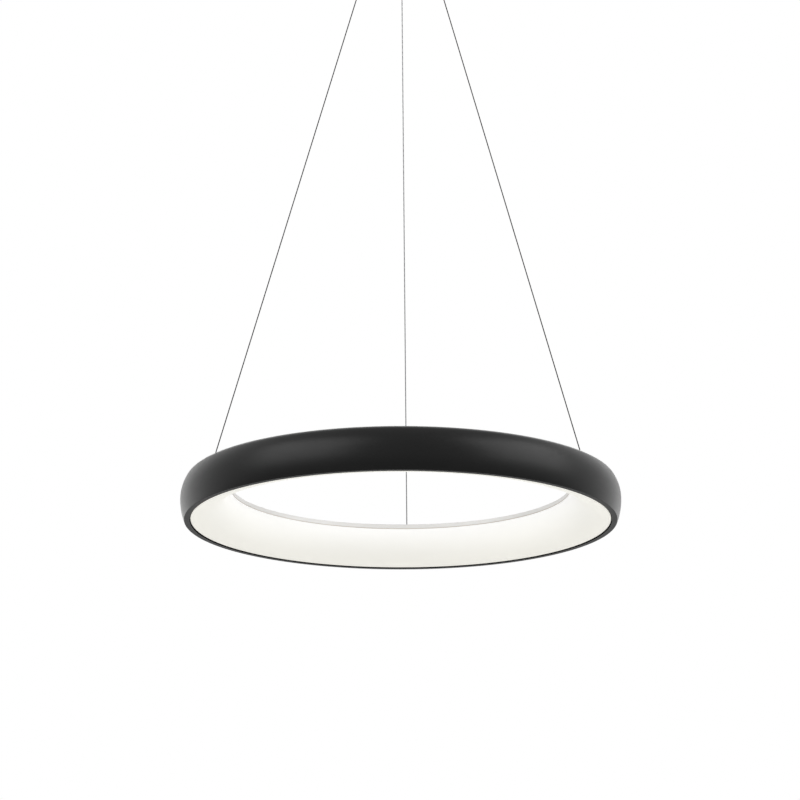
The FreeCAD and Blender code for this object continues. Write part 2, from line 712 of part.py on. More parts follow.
def canopy_cup():
    body = turned("canopy_cup", [
        ("0", "0"),
        ("canopy_radius - canopy_round", "0"),
        ("canopy_radius", "canopy_round", "canopy_round", 1),
        ("canopy_radius", "canopy_high"),
        ("canopy_inner", "canopy_high"),
        ("canopy_inner", "canopy_round"),
        ("canopy_radius - canopy_round", "canopy_wall", "canopy_round - canopy_wall", -1),
        ("0", "canopy_wall"),
    ])
    drilled(body, "canopy_gripper_holes", "gripper_radius + fit_gap", "gripper_circle",
            "0", "2 * canopy_wall", "3", ANCHOR_ANGLES["rear"])
    sketch = new_sketch(body, "canopy_knob_place", "YZ_Plane")
    sketch.addGeometry(Part.Circle(FreeCAD.Vector(0, value("canopy_depth - knob_drop"), 0),
                                   FreeCAD.Vector(0, 0, 1), value("knob_stem_radius + fit_gap")))
    sketch.addConstraint(Sketcher.Constraint("PointOnObject", 0, 3, -2))
    for number, (kind, where, text) in enumerate((
            ("DistanceY", (-1, 1, 0, 3), "canopy_depth - knob_drop"),
            ("Radius", (0,), "knob_stem_radius + fit_gap")), start=1):
        sketch.addConstraint(Sketcher.Constraint(kind, *where, value(text)))
        sketch.setExpression(f"Constraints[{number}]", on_sheet(text))
    before = body.Shape.Volume
    pocket = body.newObject("PartDesign::Pocket", "canopy_knob_holes")
    pocket.Profile = (sketch, [""])
    pocket.SideType = "Symmetric"
    bind(pocket, Length="3 * canopy_radius")
    doc.recompute()
    assert body.Shape.Volume < before, "the knob holes cut nothing"
    keep(place(body, z="-canopy_depth"), "canopy_cup")


def slot_cut(name, x):
    """Straight slot along X with round ends, through the ceiling plate."""
    low, high = "-2 * plate_wall", "3 * plate_wall"
    run = "slot_length - slot_width"
    middle = block(name + "_middle", run, "slot_width", high, x, "0", low)
    first = rod(name + "_first", "slot_width / 2", high, f"{x} - ({run}) / 2", "0", low)
    last = rod(name + "_last", "slot_width / 2", high, f"{x} + ({run}) / 2", "0", low)
    return united(name, middle, first, last)


def ceiling_plate():
    """Disc with two ears turned down for the canopy's knobs."""
    disc = rod("plate_disc", "plate_radius", "plate_wall", z="-plate_wall")
    cuts = [slot_cut("slot_left", "-slot_spacing / 2"), slot_cut("slot_right", "slot_spacing / 2")]
    ears = []
    for name, way in (("left", "-1"), ("right", "1")):
        inner = "plate_radius - ear_width"
        ears.append(block("ear_arm_" + name, f"ear_reach - ({inner})", "ear_width", "plate_wall",
                          f"{way} * (ear_reach + {inner}) / 2", "0", "-plate_wall"))
        ears.append(block("ear_" + name, "plate_wall", "ear_width", "ear_height",
                          f"{way} * (ear_reach - plate_wall / 2)", "0", "-ear_height"))
    cuts.append(rod("ear_holes", "knob_stem_radius + fit_gap", "2 * canopy_radius",
                    "-canopy_radius", "0", "-knob_drop", 90.0, (0, 1, 0)))
    holes = [("entry_hole", "grommet_bore_radius + grommet_wall", "0", "entry_offset"),
             ("earth_hole", "stud_radius + fit_gap", "earth_across", "entry_offset")]
    for name, way in (("left", "-1"), ("right", "1")):
        holes.append(("driver_hole_" + name, "screw_radius + fit_gap",
                      f"{way} * driver_screw_across", "-driver_offset"))
        holes.append(("clamp_hole_" + name, "screw_radius + fit_gap",
                      f"{way} * clamp_screw_across", "clamp_place"))
    for name, radius, x, y in holes:
        cuts.append(rod(name, radius, "3 * plate_wall", x, y, "-2 * plate_wall"))
    plate = cut_by("ceiling_plate_cut", united("plate_blank", disc, *ears), *cuts)
    keep(plate, "ceiling_plate")


def cable_grommet():
    """Rubber ring in the mains entry, with a flange on the plate's underside."""
    body = turned("cable_grommet", [
        ("grommet_bore_radius", "0"),
        ("grommet_bore_radius + grommet_wall + grommet_flange", "0"),
        ("grommet_bore_radius + grommet_wall + grommet_flange", "grommet_height - plate_wall"),
        ("grommet_bore_radius + grommet_wall - fit_gap", "grommet_height - plate_wall"),
        ("grommet_bore_radius + grommet_wall - fit_gap", "grommet_height"),
        ("grommet_bore_radius", "grommet_height"),
    ])
    keep(place(body, y="entry_offset", z="-grommet_height"), "cable_grommet")


def canopy_knobs():
    knobs = []
    for name, way, angle in (("left", "-1", -90.0), ("right", "1", 90.0)):
        head = rod("knob_head_" + name, "knob_radius", "knob_height",
                   f"{way} * (canopy_radius + gap)", "0", "-knob_drop", angle, (0, 1, 0))
        shank = rod("knob_shank_" + name, "knob_stem_radius",
                    "canopy_radius + 2 * gap - ear_reach + ear_inside",
                    f"{way} * (ear_reach - ear_inside)", "0", "-knob_drop", angle, (0, 1, 0))
        knobs.append(united("knob_" + name, head, shank))
    keep(grouped("knobs", *knobs), "canopy_knobs")


def led_driver():
    """Power supply under the plate: case, lid, circuit board and coil, with its two screws."""
    case_high = "driver_height - driver_wall"
    outer = block("case_outer", "driver_length", "driver_width", case_high,
                  "0", "-driver_offset", f"-plate_wall - ({case_high})")
    hollow = block("case_hollow", "driver_length - 2 * driver_wall", "driver_width - 2 * driver_wall",
                   case_high, "0", "-driver_offset", f"-plate_wall - driver_wall - ({case_high})")
    shell = cut_by("case_shell", outer, hollow)
    ears = [block("case_ear_" + name, "driver_ear + driver_wall / 2", "2 * driver_ear", "driver_wall",
                  f"{way} * (driver_length + driver_ear - driver_wall / 2) / 2", "-driver_offset",
                  "-plate_wall - driver_wall") for name, way in (("left", "-1"), ("right", "1"))]
    holes = [rod("case_hole_" + name, "screw_radius + fit_gap", "3 * driver_wall",
                 f"{way} * driver_screw_across", "-driver_offset", "-plate_wall - 2 * driver_wall")
             for name, way in (("left", "-1"), ("right", "1"))]
    keep(cut_by("driver_case_cut", united("case_blank", shell, *ears), *holes), "driver_case")
    keep(block("driver_lid_box", "driver_length", "driver_width", "driver_wall",
               "0", "-driver_offset", "-plate_wall - driver_height"), "driver_lid")
    board_length = "driver_length - 2 * driver_wall - 2 * gap"
    board_width = "driver_width - 2 * driver_wall - 2 * gap"
    keep(block("driver_board_box", board_length, board_width, "board_wall", "0", "-driver_offset",
               "-plate_wall - driver_height + driver_wall + gap"), "driver_board")
    keep(block("driver_coil_box", "coil_length", "coil_width", "coil_height",
               "-coil_length / 2", "-driver_offset",
               "-plate_wall - driver_height + driver_wall + gap + board_wall"), "driver_coil")


def plate_fittings():
    """Terminal block, cable clamp and earth stud on the plate, with their screws."""
    low = "-plate_wall - block_height"
    base = block("block_base", "block_length", "block_width", "block_height", "0", "block_place", low)
    cuts, screws = [], []
    for column, way in enumerate(("-1", "0", "1")):
        for row, side in enumerate(("-1", "1")):
            x, y = f"{way} * block_pitch", f"block_place + {side} * block_width / 4"
            name = f"_{column}_{row}"
            cuts.append(rod("well" + name, "terminal_well_radius", "terminal_depth", x, y, low))
            screws.append(rod("terminal_screw" + name, "terminal_well_radius - gap",
                              "terminal_depth - terminal_sink", x, y, f"{low} + terminal_sink - gap"))
    keep(cut_by("terminal_block_cut", base, *cuts), "terminal_block")
    keep(grouped("terminal_screws_all", *screws), "terminal_screws")
    bar = block("clamp_bar", "clamp_length", "clamp_width", "clamp_wall + clamp_gap",
                "0", "clamp_place", "-plate_wall - clamp_wall - clamp_gap")
    arch = block("clamp_arch", "clamp_length - 4 * clamp_foot", "2 * clamp_width", "2 * clamp_gap",
                 "0", "clamp_place", "-plate_wall - clamp_gap")
    holes = [rod("clamp_screw_hole_" + name, "screw_radius + fit_gap", "3 * clamp_gap",
                 f"{way} * clamp_screw_across", "clamp_place", "-plate_wall - 2 * clamp_gap")
             for name, way in (("left", "-1"), ("right", "1"))]
    keep(cut_by("cable_clamp_cut", bar, arch, *holes), "cable_clamp")
    stud = rod("earth_shank", "stud_radius", "stud_length", "earth_across", "entry_offset",
               "-plate_wall - stud_length + plate_wall")
    keep(stud, "earth_stud")
    keep(hex_nut("earth_nut_cut", "earth_flats", "earth_high", "stud_radius + fit_gap",
                 "earth_across", "entry_offset", "-plate_wall - earth_high"), "earth_nut")


def plate_screw(name, x, y, under):
    """Screw from below, through something under the plate and into the plate."""
    shank = rod(name + "_shank", "screw_radius", f"{under} + plate_wall", x, y,
                f"-plate_wall - ({under})")
    head = rod(name + "_head", "screw_head_radius", "screw_head_height", x, y,
               f"-plate_wall - ({under}) - screw_head_height")
    return united(name, shank, head)


def plate_screws():
    driver_screws, clamp_screws = [], []
    for name, way in (("left", "-1"), ("right", "1")):
        driver_screws.append(plate_screw("driver_screw_" + name, f"{way} * driver_screw_across",
                                         "-driver_offset", "driver_wall"))
        clamp_screws.append(plate_screw("clamp_screw_" + name, f"{way} * clamp_screw_across",
                                        "clamp_place", "clamp_wall + clamp_gap"))
    keep(grouped("driver_screws_all", *driver_screws), "driver_screws")
    keep(grouped("clamp_screws_all", *clamp_screws), "clamp_screws")


# ---- wire grippers and wires ---------------------------------------------------------------

def gripper_bodies():
    """Threaded sleeves with an inner taper, which wedges the balls on the wire."""
    for side, angle in ANCHOR_ANGLES.items():
        label = "gripper_body_" + side
        body = turned(label, [
            ("gripper_mouth", "0"),
            ("gripper_radius", "0"),
            ("gripper_radius", "gripper_below - gripper_collar_height"),
            ("gripper_collar_radius", "gripper_below - gripper_collar_height"),
            ("gripper_collar_radius", "gripper_below"),
            ("gripper_radius", "gripper_below"),
            ("gripper_radius", "gripper_length"),
            ("gripper_bore", "gripper_length"),
            ("gripper_bore", "shoulder_height"),
            ("gripper_cone_radius", "shoulder_height"),
            ("gripper_mouth", "gripper_lip"),
        ])
        keep(place(body, *on_circle("gripper_circle", angle), "mouth_place"), label)


def gripper_plungers():
    """Release buttons: each lifts its cage of three balls off the taper when it is pressed."""
    for side, angle in ANCHOR_ANGLES.items():
        label = "gripper_plunger_" + side
        body = turned(label, [
            ("wire_bore", "-plunger_out"),
            ("plunger_radius - plunger_edge", "-plunger_out"),
            ("plunger_radius", "plunger_edge - plunger_out"),
            ("plunger_radius", "head_low"),
            ("plunger_head_radius", "head_low"),
            ("plunger_head_radius", "head_high"),
            ("wire_bore", "head_high"),
        ])
        windows, balls = [], []
        for number, turn in enumerate(round_angles("ball_count", angle)):
            across = (-math.sin(math.radians(turn)), math.cos(math.radians(turn)), 0)
            windows.append(rod(f"{label}_window_{number}", "ball_radius + slide_gap",
                               "2 * plunger_radius", "0", "0", "ball_height", 90.0, across))
            ball = doc.addObject("Part::Sphere", f"{label}_ball_{number}")
            bind(ball, Radius="ball_radius")
            balls.append(place(ball, *on_circle("ball_circle", turn), "ball_height"))
        at = (*on_circle("gripper_circle", angle), "mouth_place")
        keep(place(cut_by(label + "_cut", body, *windows), *at), label)
        keep(place(grouped(label + "_balls", *balls), *at), "gripper_balls_" + side)


def gripper_fittings():
    """Caps that close the sleeves, lock nuts on the canopy's floor, stops on the wires' ends."""
    cap = turned("gripper_cap", [
        ("wire_bore", "cap_low"),
        ("gripper_bore - fit_gap", "cap_low"),
        ("gripper_bore - fit_gap", "gripper_length"),
        ("wire_bore", "gripper_length"),
    ])
    stop = turned("wire_stop", [
        ("wire_radius + fit_gap", "0"),
        ("crimp_radius", "0"),
        ("crimp_radius", "stop_height"),
        ("wire_radius + fit_gap", "stop_height"),
    ])
    angles = list(ANCHOR_ANGLES.values())
    keep(spread("gripper_caps_round", cap, "gripper_circle", "mouth_place", angles), "gripper_caps")
    keep(spread("wire_stops_round", stop, "gripper_circle", "stop_low", angles), "wire_stops")
    nuts = [hex_nut("gripper_nut_" + side, "gripper_nut_flats", "gripper_nut_height",
                    "gripper_radius + fit_gap", *on_circle("gripper_circle", angle),
                    "canopy_wall - canopy_depth") for side, angle in ANCHOR_ANGLES.items()]
    keep(grouped("gripper_nuts_all", *nuts), "gripper_nuts")


def helix_point(turn, radius, low, pitch):
    angle = 2 * math.pi * turn
    return FreeCAD.Vector(radius * math.cos(angle), radius * math.sin(angle), low + pitch * turn)


def helix_way(turn, radius, pitch):
    angle = 2 * math.pi * turn
    rise = pitch / (2 * math.pi)
    way = FreeCAD.Vector(-radius * math.sin(angle), radius * math.cos(angle), rise)
    return way.normalize()


def arc_from_corner(start, corner, end):
    """Arc that leaves start and reaches end along the two equal legs that meet at the corner."""
    half = (end - start).Length / 2
    weight = half / (corner - start).Length
    middle = (start + end + corner * (2 * weight)) * (1 / (2 + 2 * weight))
    return Part.Arc(start, middle, end).toShape()


def biarc(start, start_way, end, end_way):
    """Two tangent arcs from one point and direction to another, with equal legs."""
    chord = end - start
    along = chord.dot(start_way + end_way)
    spare = 2 * (1 - start_way.dot(end_way))
    leg = (-along + math.sqrt(along ** 2 + spare * chord.dot(chord))) / spare
    first = start + start_way * leg
    second = end - end_way * leg
    meeting = (first + second) * 0.5
    return [arc_from_corner(start, first, meeting), arc_from_corner(meeting, second, end)]


def gripper_springs():
    """Round-wire springs between the plungers' heads and the caps, on biarcs of a quarter turn."""
    radius, low = value("spring_radius"), value("spring_low + spring_wire_radius")
    turns = int(value("spring_turns"))
    pitch = value("(spring_high - spring_low - 2 * spring_wire_radius) / spring_turns")
    print("spring least gap", round(pitch - 2 * value("spring_wire_radius"), 2))
    edges = []
    for quarter in range(4 * turns):
        ends = [quarter / 4, (quarter + 1) / 4]
        first, last = (helix_point(turn, radius, low, pitch) for turn in ends)
        ways = [helix_way(turn, radius, pitch) for turn in ends]
        edges += biarc(first, ways[0], last, ways[1])
    section = Part.makeCircle(value("spring_wire_radius"), helix_point(0, radius, low, pitch),
                              helix_way(0, radius, pitch))
    coil = Part.Wire(edges).makePipeShell([Part.Wire(section)], True, False)
    for side, angle in ANCHOR_ANGLES.items():
        label = "gripper_spring_" + side
        keep(place(solid(label + "_coil", coil), *on_circle("gripper_circle", angle), "mouth_place"),
             label)


def rounded_wire(points, bend):
    """Straight runs joined by tangent arcs of one radius at the inner points."""
    edges, last = [], points[0]
    for before, corner, after in zip(points, points[1:], points[2:]):
        way_in = (corner - before).normalize()
        way_out = (after - corner).normalize()
        turn = way_in.getAngle(way_out)
        leg = bend * math.tan(turn / 2)
        start, end = corner - way_in * leg, corner + way_out * leg
        edges += [Part.LineSegment(last, start).toShape(), arc_from_corner(start, corner, end)]
        last = end
        print("wire turns", round(math.degrees(turn), 2), "degrees on a radius of", bend)
    return Part.Wire(edges + [Part.LineSegment(last, points[-1]).toShape()])


def suspension_wires():
    """Taut wires from the crimps in the ring's anchors up through the grippers to their stops."""
    ring_side, canopy_side = value("anchor_radius"), value("gripper_circle")
    route = [FreeCAD.Vector(ring_side, 0, value("crimp_low - drop")),
             FreeCAD.Vector(ring_side, 0, value("wire_turn_low")),
             FreeCAD.Vector(canopy_side, 0, value("wire_turn_high")),
             FreeCAD.Vector(canopy_side, 0, value("stop_low + stop_height"))]
    path = rounded_wire(route, value("wire_bend"))
    radius = value("wire_radius")
    section = Part.makeCircle(radius, route[0], FreeCAD.Vector(0, 0, 1))
    tube = path.makePipeShell([Part.Wire(section)], True, False)
    print("wire length", round(path.Length, 1),
          "volume over section times length", round(tube.Volume / (math.pi * radius ** 2 * path.Length), 4))
    for side, angle in ANCHOR_ANGLES.items():
        label = "suspension_wire_" + side
        keep(place(solid(label + "_tube", tube), angle=angle), label)


# ---- build, check and write ----------------------------------------------------------------

def build():
    for make in (ring_shell, top_cover, diffuser, lip_ring, led_carrier, led_strip, diffuser_clips,
                 ring_screws, wire_anchors, feed_tabs, canopy_cup, ceiling_plate, cable_grommet,
                 canopy_knobs, led_driver, plate_fittings, plate_screws, gripper_bodies,
                 gripper_plungers, gripper_fittings, gripper_springs, suspension_wires):
        make()
    doc.recompute()


def check():
    failed = [thing.Name for thing in doc.Objects if {"Invalid", "Error"} & set(thing.State)]
    failed += [label for label, thing in parts.items()
               if thing.Shape.isNull() or not thing.Shape.isValid() or not thing.Shape.Solids]
    if failed:
        raise RuntimeError("not built: " + ", ".join(failed))


def write():
    os.makedirs("parts", exist_ok=True)
    for label, thing in parts.items():
        thing.Shape.exportStep(f"parts/{label}.step")
    print(len(parts), "pieces written")


build()
check()
write()
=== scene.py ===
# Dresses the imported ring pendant: smooth surfaces for its ring, thin wires, and a finish for every piece.
# All lengths are metres, in the CAD model's own frame: z = 0 is the ceiling, and the ring hangs below it.
import json
import math

import bmesh
import bpy
import numpy as np
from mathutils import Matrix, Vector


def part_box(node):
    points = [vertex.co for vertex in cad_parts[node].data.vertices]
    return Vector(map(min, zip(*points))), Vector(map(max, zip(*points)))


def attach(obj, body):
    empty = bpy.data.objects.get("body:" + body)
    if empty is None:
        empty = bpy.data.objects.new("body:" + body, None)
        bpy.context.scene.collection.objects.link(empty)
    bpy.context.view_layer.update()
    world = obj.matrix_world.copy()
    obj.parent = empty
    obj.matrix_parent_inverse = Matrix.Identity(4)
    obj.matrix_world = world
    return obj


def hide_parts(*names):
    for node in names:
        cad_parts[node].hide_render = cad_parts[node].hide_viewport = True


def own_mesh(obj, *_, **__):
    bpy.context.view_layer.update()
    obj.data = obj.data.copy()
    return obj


bl_info = {
    "name": "Ring pendant",
    "version": (1, 0, 0),
    "blender": (4, 5, 0),
    "location": "View3D > Sidebar > Pendant",
    "description": "Builds the looks of a ring pendant round its packed model",
    "category": "Object",
}

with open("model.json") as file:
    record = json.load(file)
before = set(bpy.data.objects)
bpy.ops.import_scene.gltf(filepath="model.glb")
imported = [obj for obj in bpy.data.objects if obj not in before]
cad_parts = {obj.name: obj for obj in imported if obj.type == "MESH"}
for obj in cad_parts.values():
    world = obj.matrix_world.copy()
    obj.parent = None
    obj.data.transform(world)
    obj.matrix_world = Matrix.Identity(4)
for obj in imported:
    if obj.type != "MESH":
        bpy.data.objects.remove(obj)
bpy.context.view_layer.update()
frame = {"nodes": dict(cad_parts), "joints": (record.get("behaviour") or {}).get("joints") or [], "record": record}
shell_low, shell_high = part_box("ring_shell")
lip_low, lip_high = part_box("lip_ring")
SIDES = {"rear": 90.0, "left": 210.0, "right": 330.0}      # azimuths of the three wires
SCREW_AZIMUTHS = 30.0 + 60.0 * np.arange(6)                # azimuths of the top panel's screws
SHARP_ANGLE = math.radians(38.0)                           # edges sharper than this keep an edge


def length(label, about, default):
    """A distance that a user may change."""
    return bpy.props.FloatProperty(name=label, description=about, default=default, min=0.0,
                                   precision=5, subtype="DISTANCE", unit="LENGTH")


def altitude(label, about, default):
    """A height that a user may change, in the frame, where 0 is the ceiling."""
    return bpy.props.FloatProperty(name=label, description=about, default=default, precision=5, unit="LENGTH")


def degrees(label, about, default):
    """An angle that a user may change."""
    return bpy.props.FloatProperty(name=label, description=about, default=math.radians(default),
                                   subtype="ANGLE", unit="ROTATION")


def watts(label, about, default):
    """A lamp's power that a user may change."""
    return bpy.props.FloatProperty(name=label, description=about, default=default, min=0.0, unit="POWER")


def tint(label, about, default):
    """A colour that a user may change."""
    return bpy.props.FloatVectorProperty(name=label, description=about, default=default, size=3,
                                         min=0.0, max=1.0, subtype="COLOR")


class RingSizes(bpy.types.PropertyGroup):
    """Section of the ring, measured from its bottom rim and its axis."""
    rim_level: altitude("Rim level", "Height of the bottom rim's plane", shell_low[2])
    ring_radius: length("Ring radius", "Widest radius of the ring", shell_high[0])
    ring_height: length("Ring height", "Crest above the rim", shell_high[2] - shell_low[2])
    belt_height: length("Belt height", "Widest place above the rim", 0.0295)
    rim_inset: length("Rim inset", "Rim's outer edge, inside the widest radius", 0.0056)
    rim_width: length("Rim width", "Flat bottom rim", 0.009)
    crest_inset: length("Crest inset", "Crest, inside the widest radius", 0.0175)
    crest_round: length("Crest rounding", "Rounding beside the crest", 0.012)
    lip_radius: length("Lip radius", "Lip's inner face", 0.236)
    lip_top: length("Lip top", "Lip's top edge above the rim", lip_high[2] - shell_low[2])
    lip_bottom: length("Lip bottom", "Lip's lower edge above the rim", lip_low[2] - shell_low[2])
    lip_wall: length("Lip wall", "Thickness of the lip", 0.0014)
    lip_flange: length("Lip flange", "Flange behind the lip", 0.014)
    shell_wall: length("Shell wall", "Thickness of the housing", 0.002)
    rebate_radius: length("Rebate radius", "Outer edge of the top panel's recess", 0.275)
    rebate_width: length("Rebate width", "Width of the seat under the top panel", 0.012)
    rebate_depth: length("Rebate depth", "Seat below the crest", 0.0036)
    flange_wall: length("Flange wall", "Thickness of that seat", 0.0024)
    diffuser_wall: length("Diffuser wall", "Thickness of the opal ring", 0.0025)
    diffuser_step: length("Diffuser step", "Opal ring's lowest face above the rim", 0.0011)
    diffuser_foot: length("Diffuser foot", "Opal ring's flange over the rim", 0.0065)
    head_radius: length("Screw head", "Radius of the top panel's screw heads", 0.0029)
    head_height: length("Screw head height", "Height of those heads", 0.0017)
    shank_radius: length("Screw shank", "Radius of those screws", 0.0015)
    groove_width: length("Groove width", "Shadow groove at the rim's inner edge", 0.0012)
    groove_depth: length("Groove depth", "Depth of that groove", 0.0012)
    gap: length("Gap", "Gap between neighbouring pieces", 0.0003)
    edge_round: length("Edge rounding", "Softening of the sharp edges", 0.00035)
    segments: bpy.props.IntProperty(name="Segments", description="Steps round the ring", default=288, min=48)


class WireSizes(bpy.types.PropertyGroup):
    """The wires' route, as distances from the axis and heights."""
    diameter: length("Wire diameter", "Thickness of a wire", 0.0015)
    anchor_circle: length("Anchor circle", "Where the wires meet the ring", 0.2835)
    gripper_circle: length("Gripper circle", "Where the wires enter the canopy", 0.059)
    foot_level: altitude("Foot level", "Crimped lower end", -0.8302)
    turn_low: altitude("Lower turn", "Turn over the ring", -0.811)
    turn_high: altitude("Upper turn", "Turn under the canopy", -0.0632)
    head_level: altitude("Head level", "Upper end in its stop", -0.0262)
    straight: length("Straight stretch", "Point this far from each turn, on the long run", 0.007)


class PendantLooks(bpy.types.PropertyGroup):
    """Colours of the finishes."""
    black: tint("Black", "Powder coat of the housing and canopy", (0.003, 0.0031, 0.0031))
    opal: tint("Opal", "Opal diffuser", (0.93, 0.925, 0.905))
    trim: tint("Trim", "Pale lip round the open middle", (0.74, 0.73, 0.71))
    steel: tint("Steel", "Bare suspension wire", (0.25, 0.25, 0.255))
    feed: tint("Feed wires", "The two wires that carry the current", (0.016, 0.016, 0.0162))
    white: tint("White plastic", "Driver's case and terminals", (0.80, 0.80, 0.77))


# ---- finishes --------------------------------------------------------------------------------

class Signal:
    """One output of a shader tree. Sums, products and powers of signals add Math nodes."""

    def __init__(self, finish, socket):
        self.finish = finish
        self.socket = socket

    def _math(self, operation, first, second=0.0):
        return self.finish.node("Math", {"operation": operation}, {0: first, 1: second})

    def __add__(self, other):
        return self._math("ADD", self, other)

    def __mul__(self, other):
        return self._math("MULTIPLY", self, other)

    def __sub__(self, other):
        return self._math("SUBTRACT", self, other)

    def __rsub__(self, other):
        return self._math("SUBTRACT", other, self)

    def __truediv__(self, other):
        return self._math("DIVIDE", self, other)

    def __pow__(self, other):
        return self._math("POWER", self, other)

    def sine(self):
        return self._math("SINE", self)

    def above(self, level):
        return self._math("GREATER_THAN", self, level)

    def limited(self):
        """The same signal, kept between 0 and 1."""
        return self.finish.node("Clamp", {}, {"Value": self, "Min": 0.0, "Max": 1.0})


class Finish:
    """A procedural material. `node` adds any node; the other methods are short forms for common ones."""

    def __init__(self, name, color, roughness, metallic=0.0, **constants):
        self.material = bpy.data.materials.new(name)
        self.material.use_nodes = True
        self.tree = self.material.node_tree
        self.tree.nodes.clear()
        self.output = self.tree.nodes.new("ShaderNodeOutputMaterial")
        self.shader = self.tree.nodes.new("ShaderNodeBsdfPrincipled")
        self.tree.links.new(self.shader.outputs[0], self.output.inputs["Surface"])
        self.feed("Base Color", (*color, 1.0))
        self.feed("Roughness", roughness)
        self.feed("Metallic", metallic)
        for socket, constant in constants.items():
            self.feed(socket.replace("_", " "), constant)
        self.material.diffuse_color = (*color, 1.0)

    def feed(self, socket, thing):
        """Set or link one socket of the shader."""
        self._put(self.shader.inputs[socket], thing)

    def _put(self, socket, thing):
        if isinstance(thing, Signal):
            self.tree.links.new(thing.socket, socket)
        else:
            socket.default_value = thing

    def node(self, kind, settings=None, sockets=None, output=0):
        """Add a node: its type without the prefix, its settings, and its sockets' values or links."""
        made = self.tree.nodes.new("ShaderNode" + kind)
        for name, setting in (settings or {}).items():
            setattr(made, name, setting)
        for name, thing in (sockets or {}).items():
            self._put(made.inputs[name], thing)
        return Signal(self, made.outputs[output])

    def place(self, stretch=(1.0, 1.0, 1.0)):
        """Object coordinates, stretched."""
        spot = self.node("TexCoord", output="Object")
        return self.node("Mapping", {}, {"Vector": spot, "Scale": stretch})

    def height(self):
        """Height of the shaded point, in metres."""
        return self.node("SeparateXYZ", {}, {0: self.place()}, "Z")

    def along(self):
        """The piece's own UV map, as separate signals: distance along it and turns round it."""
        spot = self.node("UVMap", {"uv_map": "run"})
        return (self.node("SeparateXYZ", {}, {0: spot}, "X"), self.node("SeparateXYZ", {}, {0: spot}, "Y"))

    def noise(self, scale, detail=3.0, rough=0.5, stretch=(1.0, 1.0, 1.0)):
        """Noise between 0 and 1; `scale` is blobs per metre."""
        return self.node("TexNoise", {}, {"Vector": self.place(stretch), "Scale": scale, "Detail": detail,
                                          "Roughness": rough}, "Fac")

    def cells(self, scale, output="Distance", stretch=(1.0, 1.0, 1.0)):
        """Distance to the nearest of scattered points, or its colour; `scale` is points per metre."""
        return self.node("TexVoronoi", {}, {"Vector": self.place(stretch), "Scale": scale}, output)

    def mixed(self, factor, first, second):
        """Colour between two colours."""
        first = (*first, 1.0) if isinstance(first, tuple) else first
        second = (*second, 1.0) if isinstance(second, tuple) else second
        return self.node("Mix", {"data_type": "RGBA"}, {0: factor, 6: first, 7: second}, 2)

    def bump(self, relief, depth):
        """Bend the light by a relief signal; `depth` is the relief of a signal of 1, in metres."""
        self.feed("Normal", self.node("Bump", {}, {"Height": relief, "Distance": depth, "Strength": 1.0}))
        return self


def shades(color, *factors):
    """The colour times each factor."""
    return [tuple(part * factor for part in color) for factor in factors]


def powder_coat(name, color, relief=0.00008, sheen=1.0, gloss=0.16):
    """Matt black powder coat: orange peel about a millimetre wide, and a grey that drifts slowly and is
    finely speckled."""
    finish = Finish(name, color, 0.5, Specular_IOR_Level=gloss, Sheen_Weight=sheen, Sheen_Roughness=0.3)
    drift = finish.noise(16.0, 4.0) * 0.5 + finish.noise(650.0, 2.0) * 0.5
    dark, light = shades(color, 0.4, 1.6)
    finish.feed("Base Color", finish.mixed(drift, dark, light))
    finish.feed("Roughness", finish.noise(70.0) * 0.06 + finish.noise(700.0, 1.0) * 0.12 + 0.24)
    peel = finish.noise(850.0, 2.0) + finish.noise(2600.0, 1.0) * 0.35
    return finish.bump(peel, relief).material


def opal_acrylic(name, color):
    """Satin opal, lit from behind: whiter high up, creamier and brighter near the rim, with faint mould
    clouds and a fine satin grain. The creamier colour near the rim is painted shade, and the glow that
    makes it brighter there is partly the LEDs' own light and partly painted light."""
    finish = Finish(name, color, 0.4, Specular_IOR_Level=0.4, Emission_Strength=1.0)
    low, high = shell_low[2], lip_low[2]
    climb = ((finish.height() - low) / (high - low)).limited()
    # Cream near the rim, darker than the opal: painted shade.
    cream_painted_shade = tuple(part * factor for part, factor in zip(color, (0.92, 0.90, 0.84)))
    clouds = finish.noise(9.0) * 0.12 - 0.06
    shade = finish.mixed((climb * 0.9 + clouds + 0.1).limited(), cream_painted_shade, color)
    finish.feed("Base Color", shade)
    # Glow, stronger near the rim than high up: partly the LEDs' own light, partly painted light in place of lamp
    # light.
    led_glow_with_painted_light = finish.mixed(climb, (0.322, 0.320, 0.300), (0.135, 0.135, 0.141))
    finish.feed("Emission Color", led_glow_with_painted_light)
    finish.feed("Roughness", finish.noise(120.0) * 0.08 + 0.34)
    return finish.bump(finish.noise(1900.0, 2.0), 0.000012).material


def anodised(name, color, roughness=0.42, foot=None):
    """Anodised aluminium: hairlines round the ring, seen as a fine grain in height and colour. Above the
    level `foot` there is a painted shadow of the seam there, warm and 1.2 mm high."""
    finish = Finish(name, color, roughness, Specular_IOR_Level=0.5)
    lines = finish.noise(60.0, stretch=(1.0, 1.0, 60.0))
    dark, light = shades(color, 0.94, 1.04)
    shade = finish.mixed(lines, dark, light)
    if foot is not None:
        # Painted shadow: darker and warmer at the foot, fading out over 1.2 mm above it.
        painted_seam_shadow = tuple(part * factor for part, factor in zip(color, (0.80, 0.75, 0.70)))
        shade = finish.mixed(((finish.height() - foot) / 0.0012).limited() ** 4.0, painted_seam_shadow, shade)
    finish.feed("Base Color", shade)
    finish.feed("Roughness", lines * 0.12 + (roughness - 0.06))
    return finish.bump(lines, 0.00001).material


def plated(name, color, roughness=0.3, turned=1.0):
    """Plated or bare metal: turning lines along Z, small stains and a little uneven gloss."""
    finish = Finish(name, color, roughness, 1.0)
    lines = finish.noise(250.0, stretch=(1.0, 1.0, 22.0 * turned + 1.0))
    stains = finish.noise(130.0, 5.0, 0.65)
    dark, light = shades(color, 0.78, 1.08)
    finish.feed("Base Color", finish.mixed(stains, dark, light))
    finish.feed("Roughness", stains * 0.16 + lines * 0.1 + (roughness - 0.1))
    return finish.bump(lines, 0.00001).material


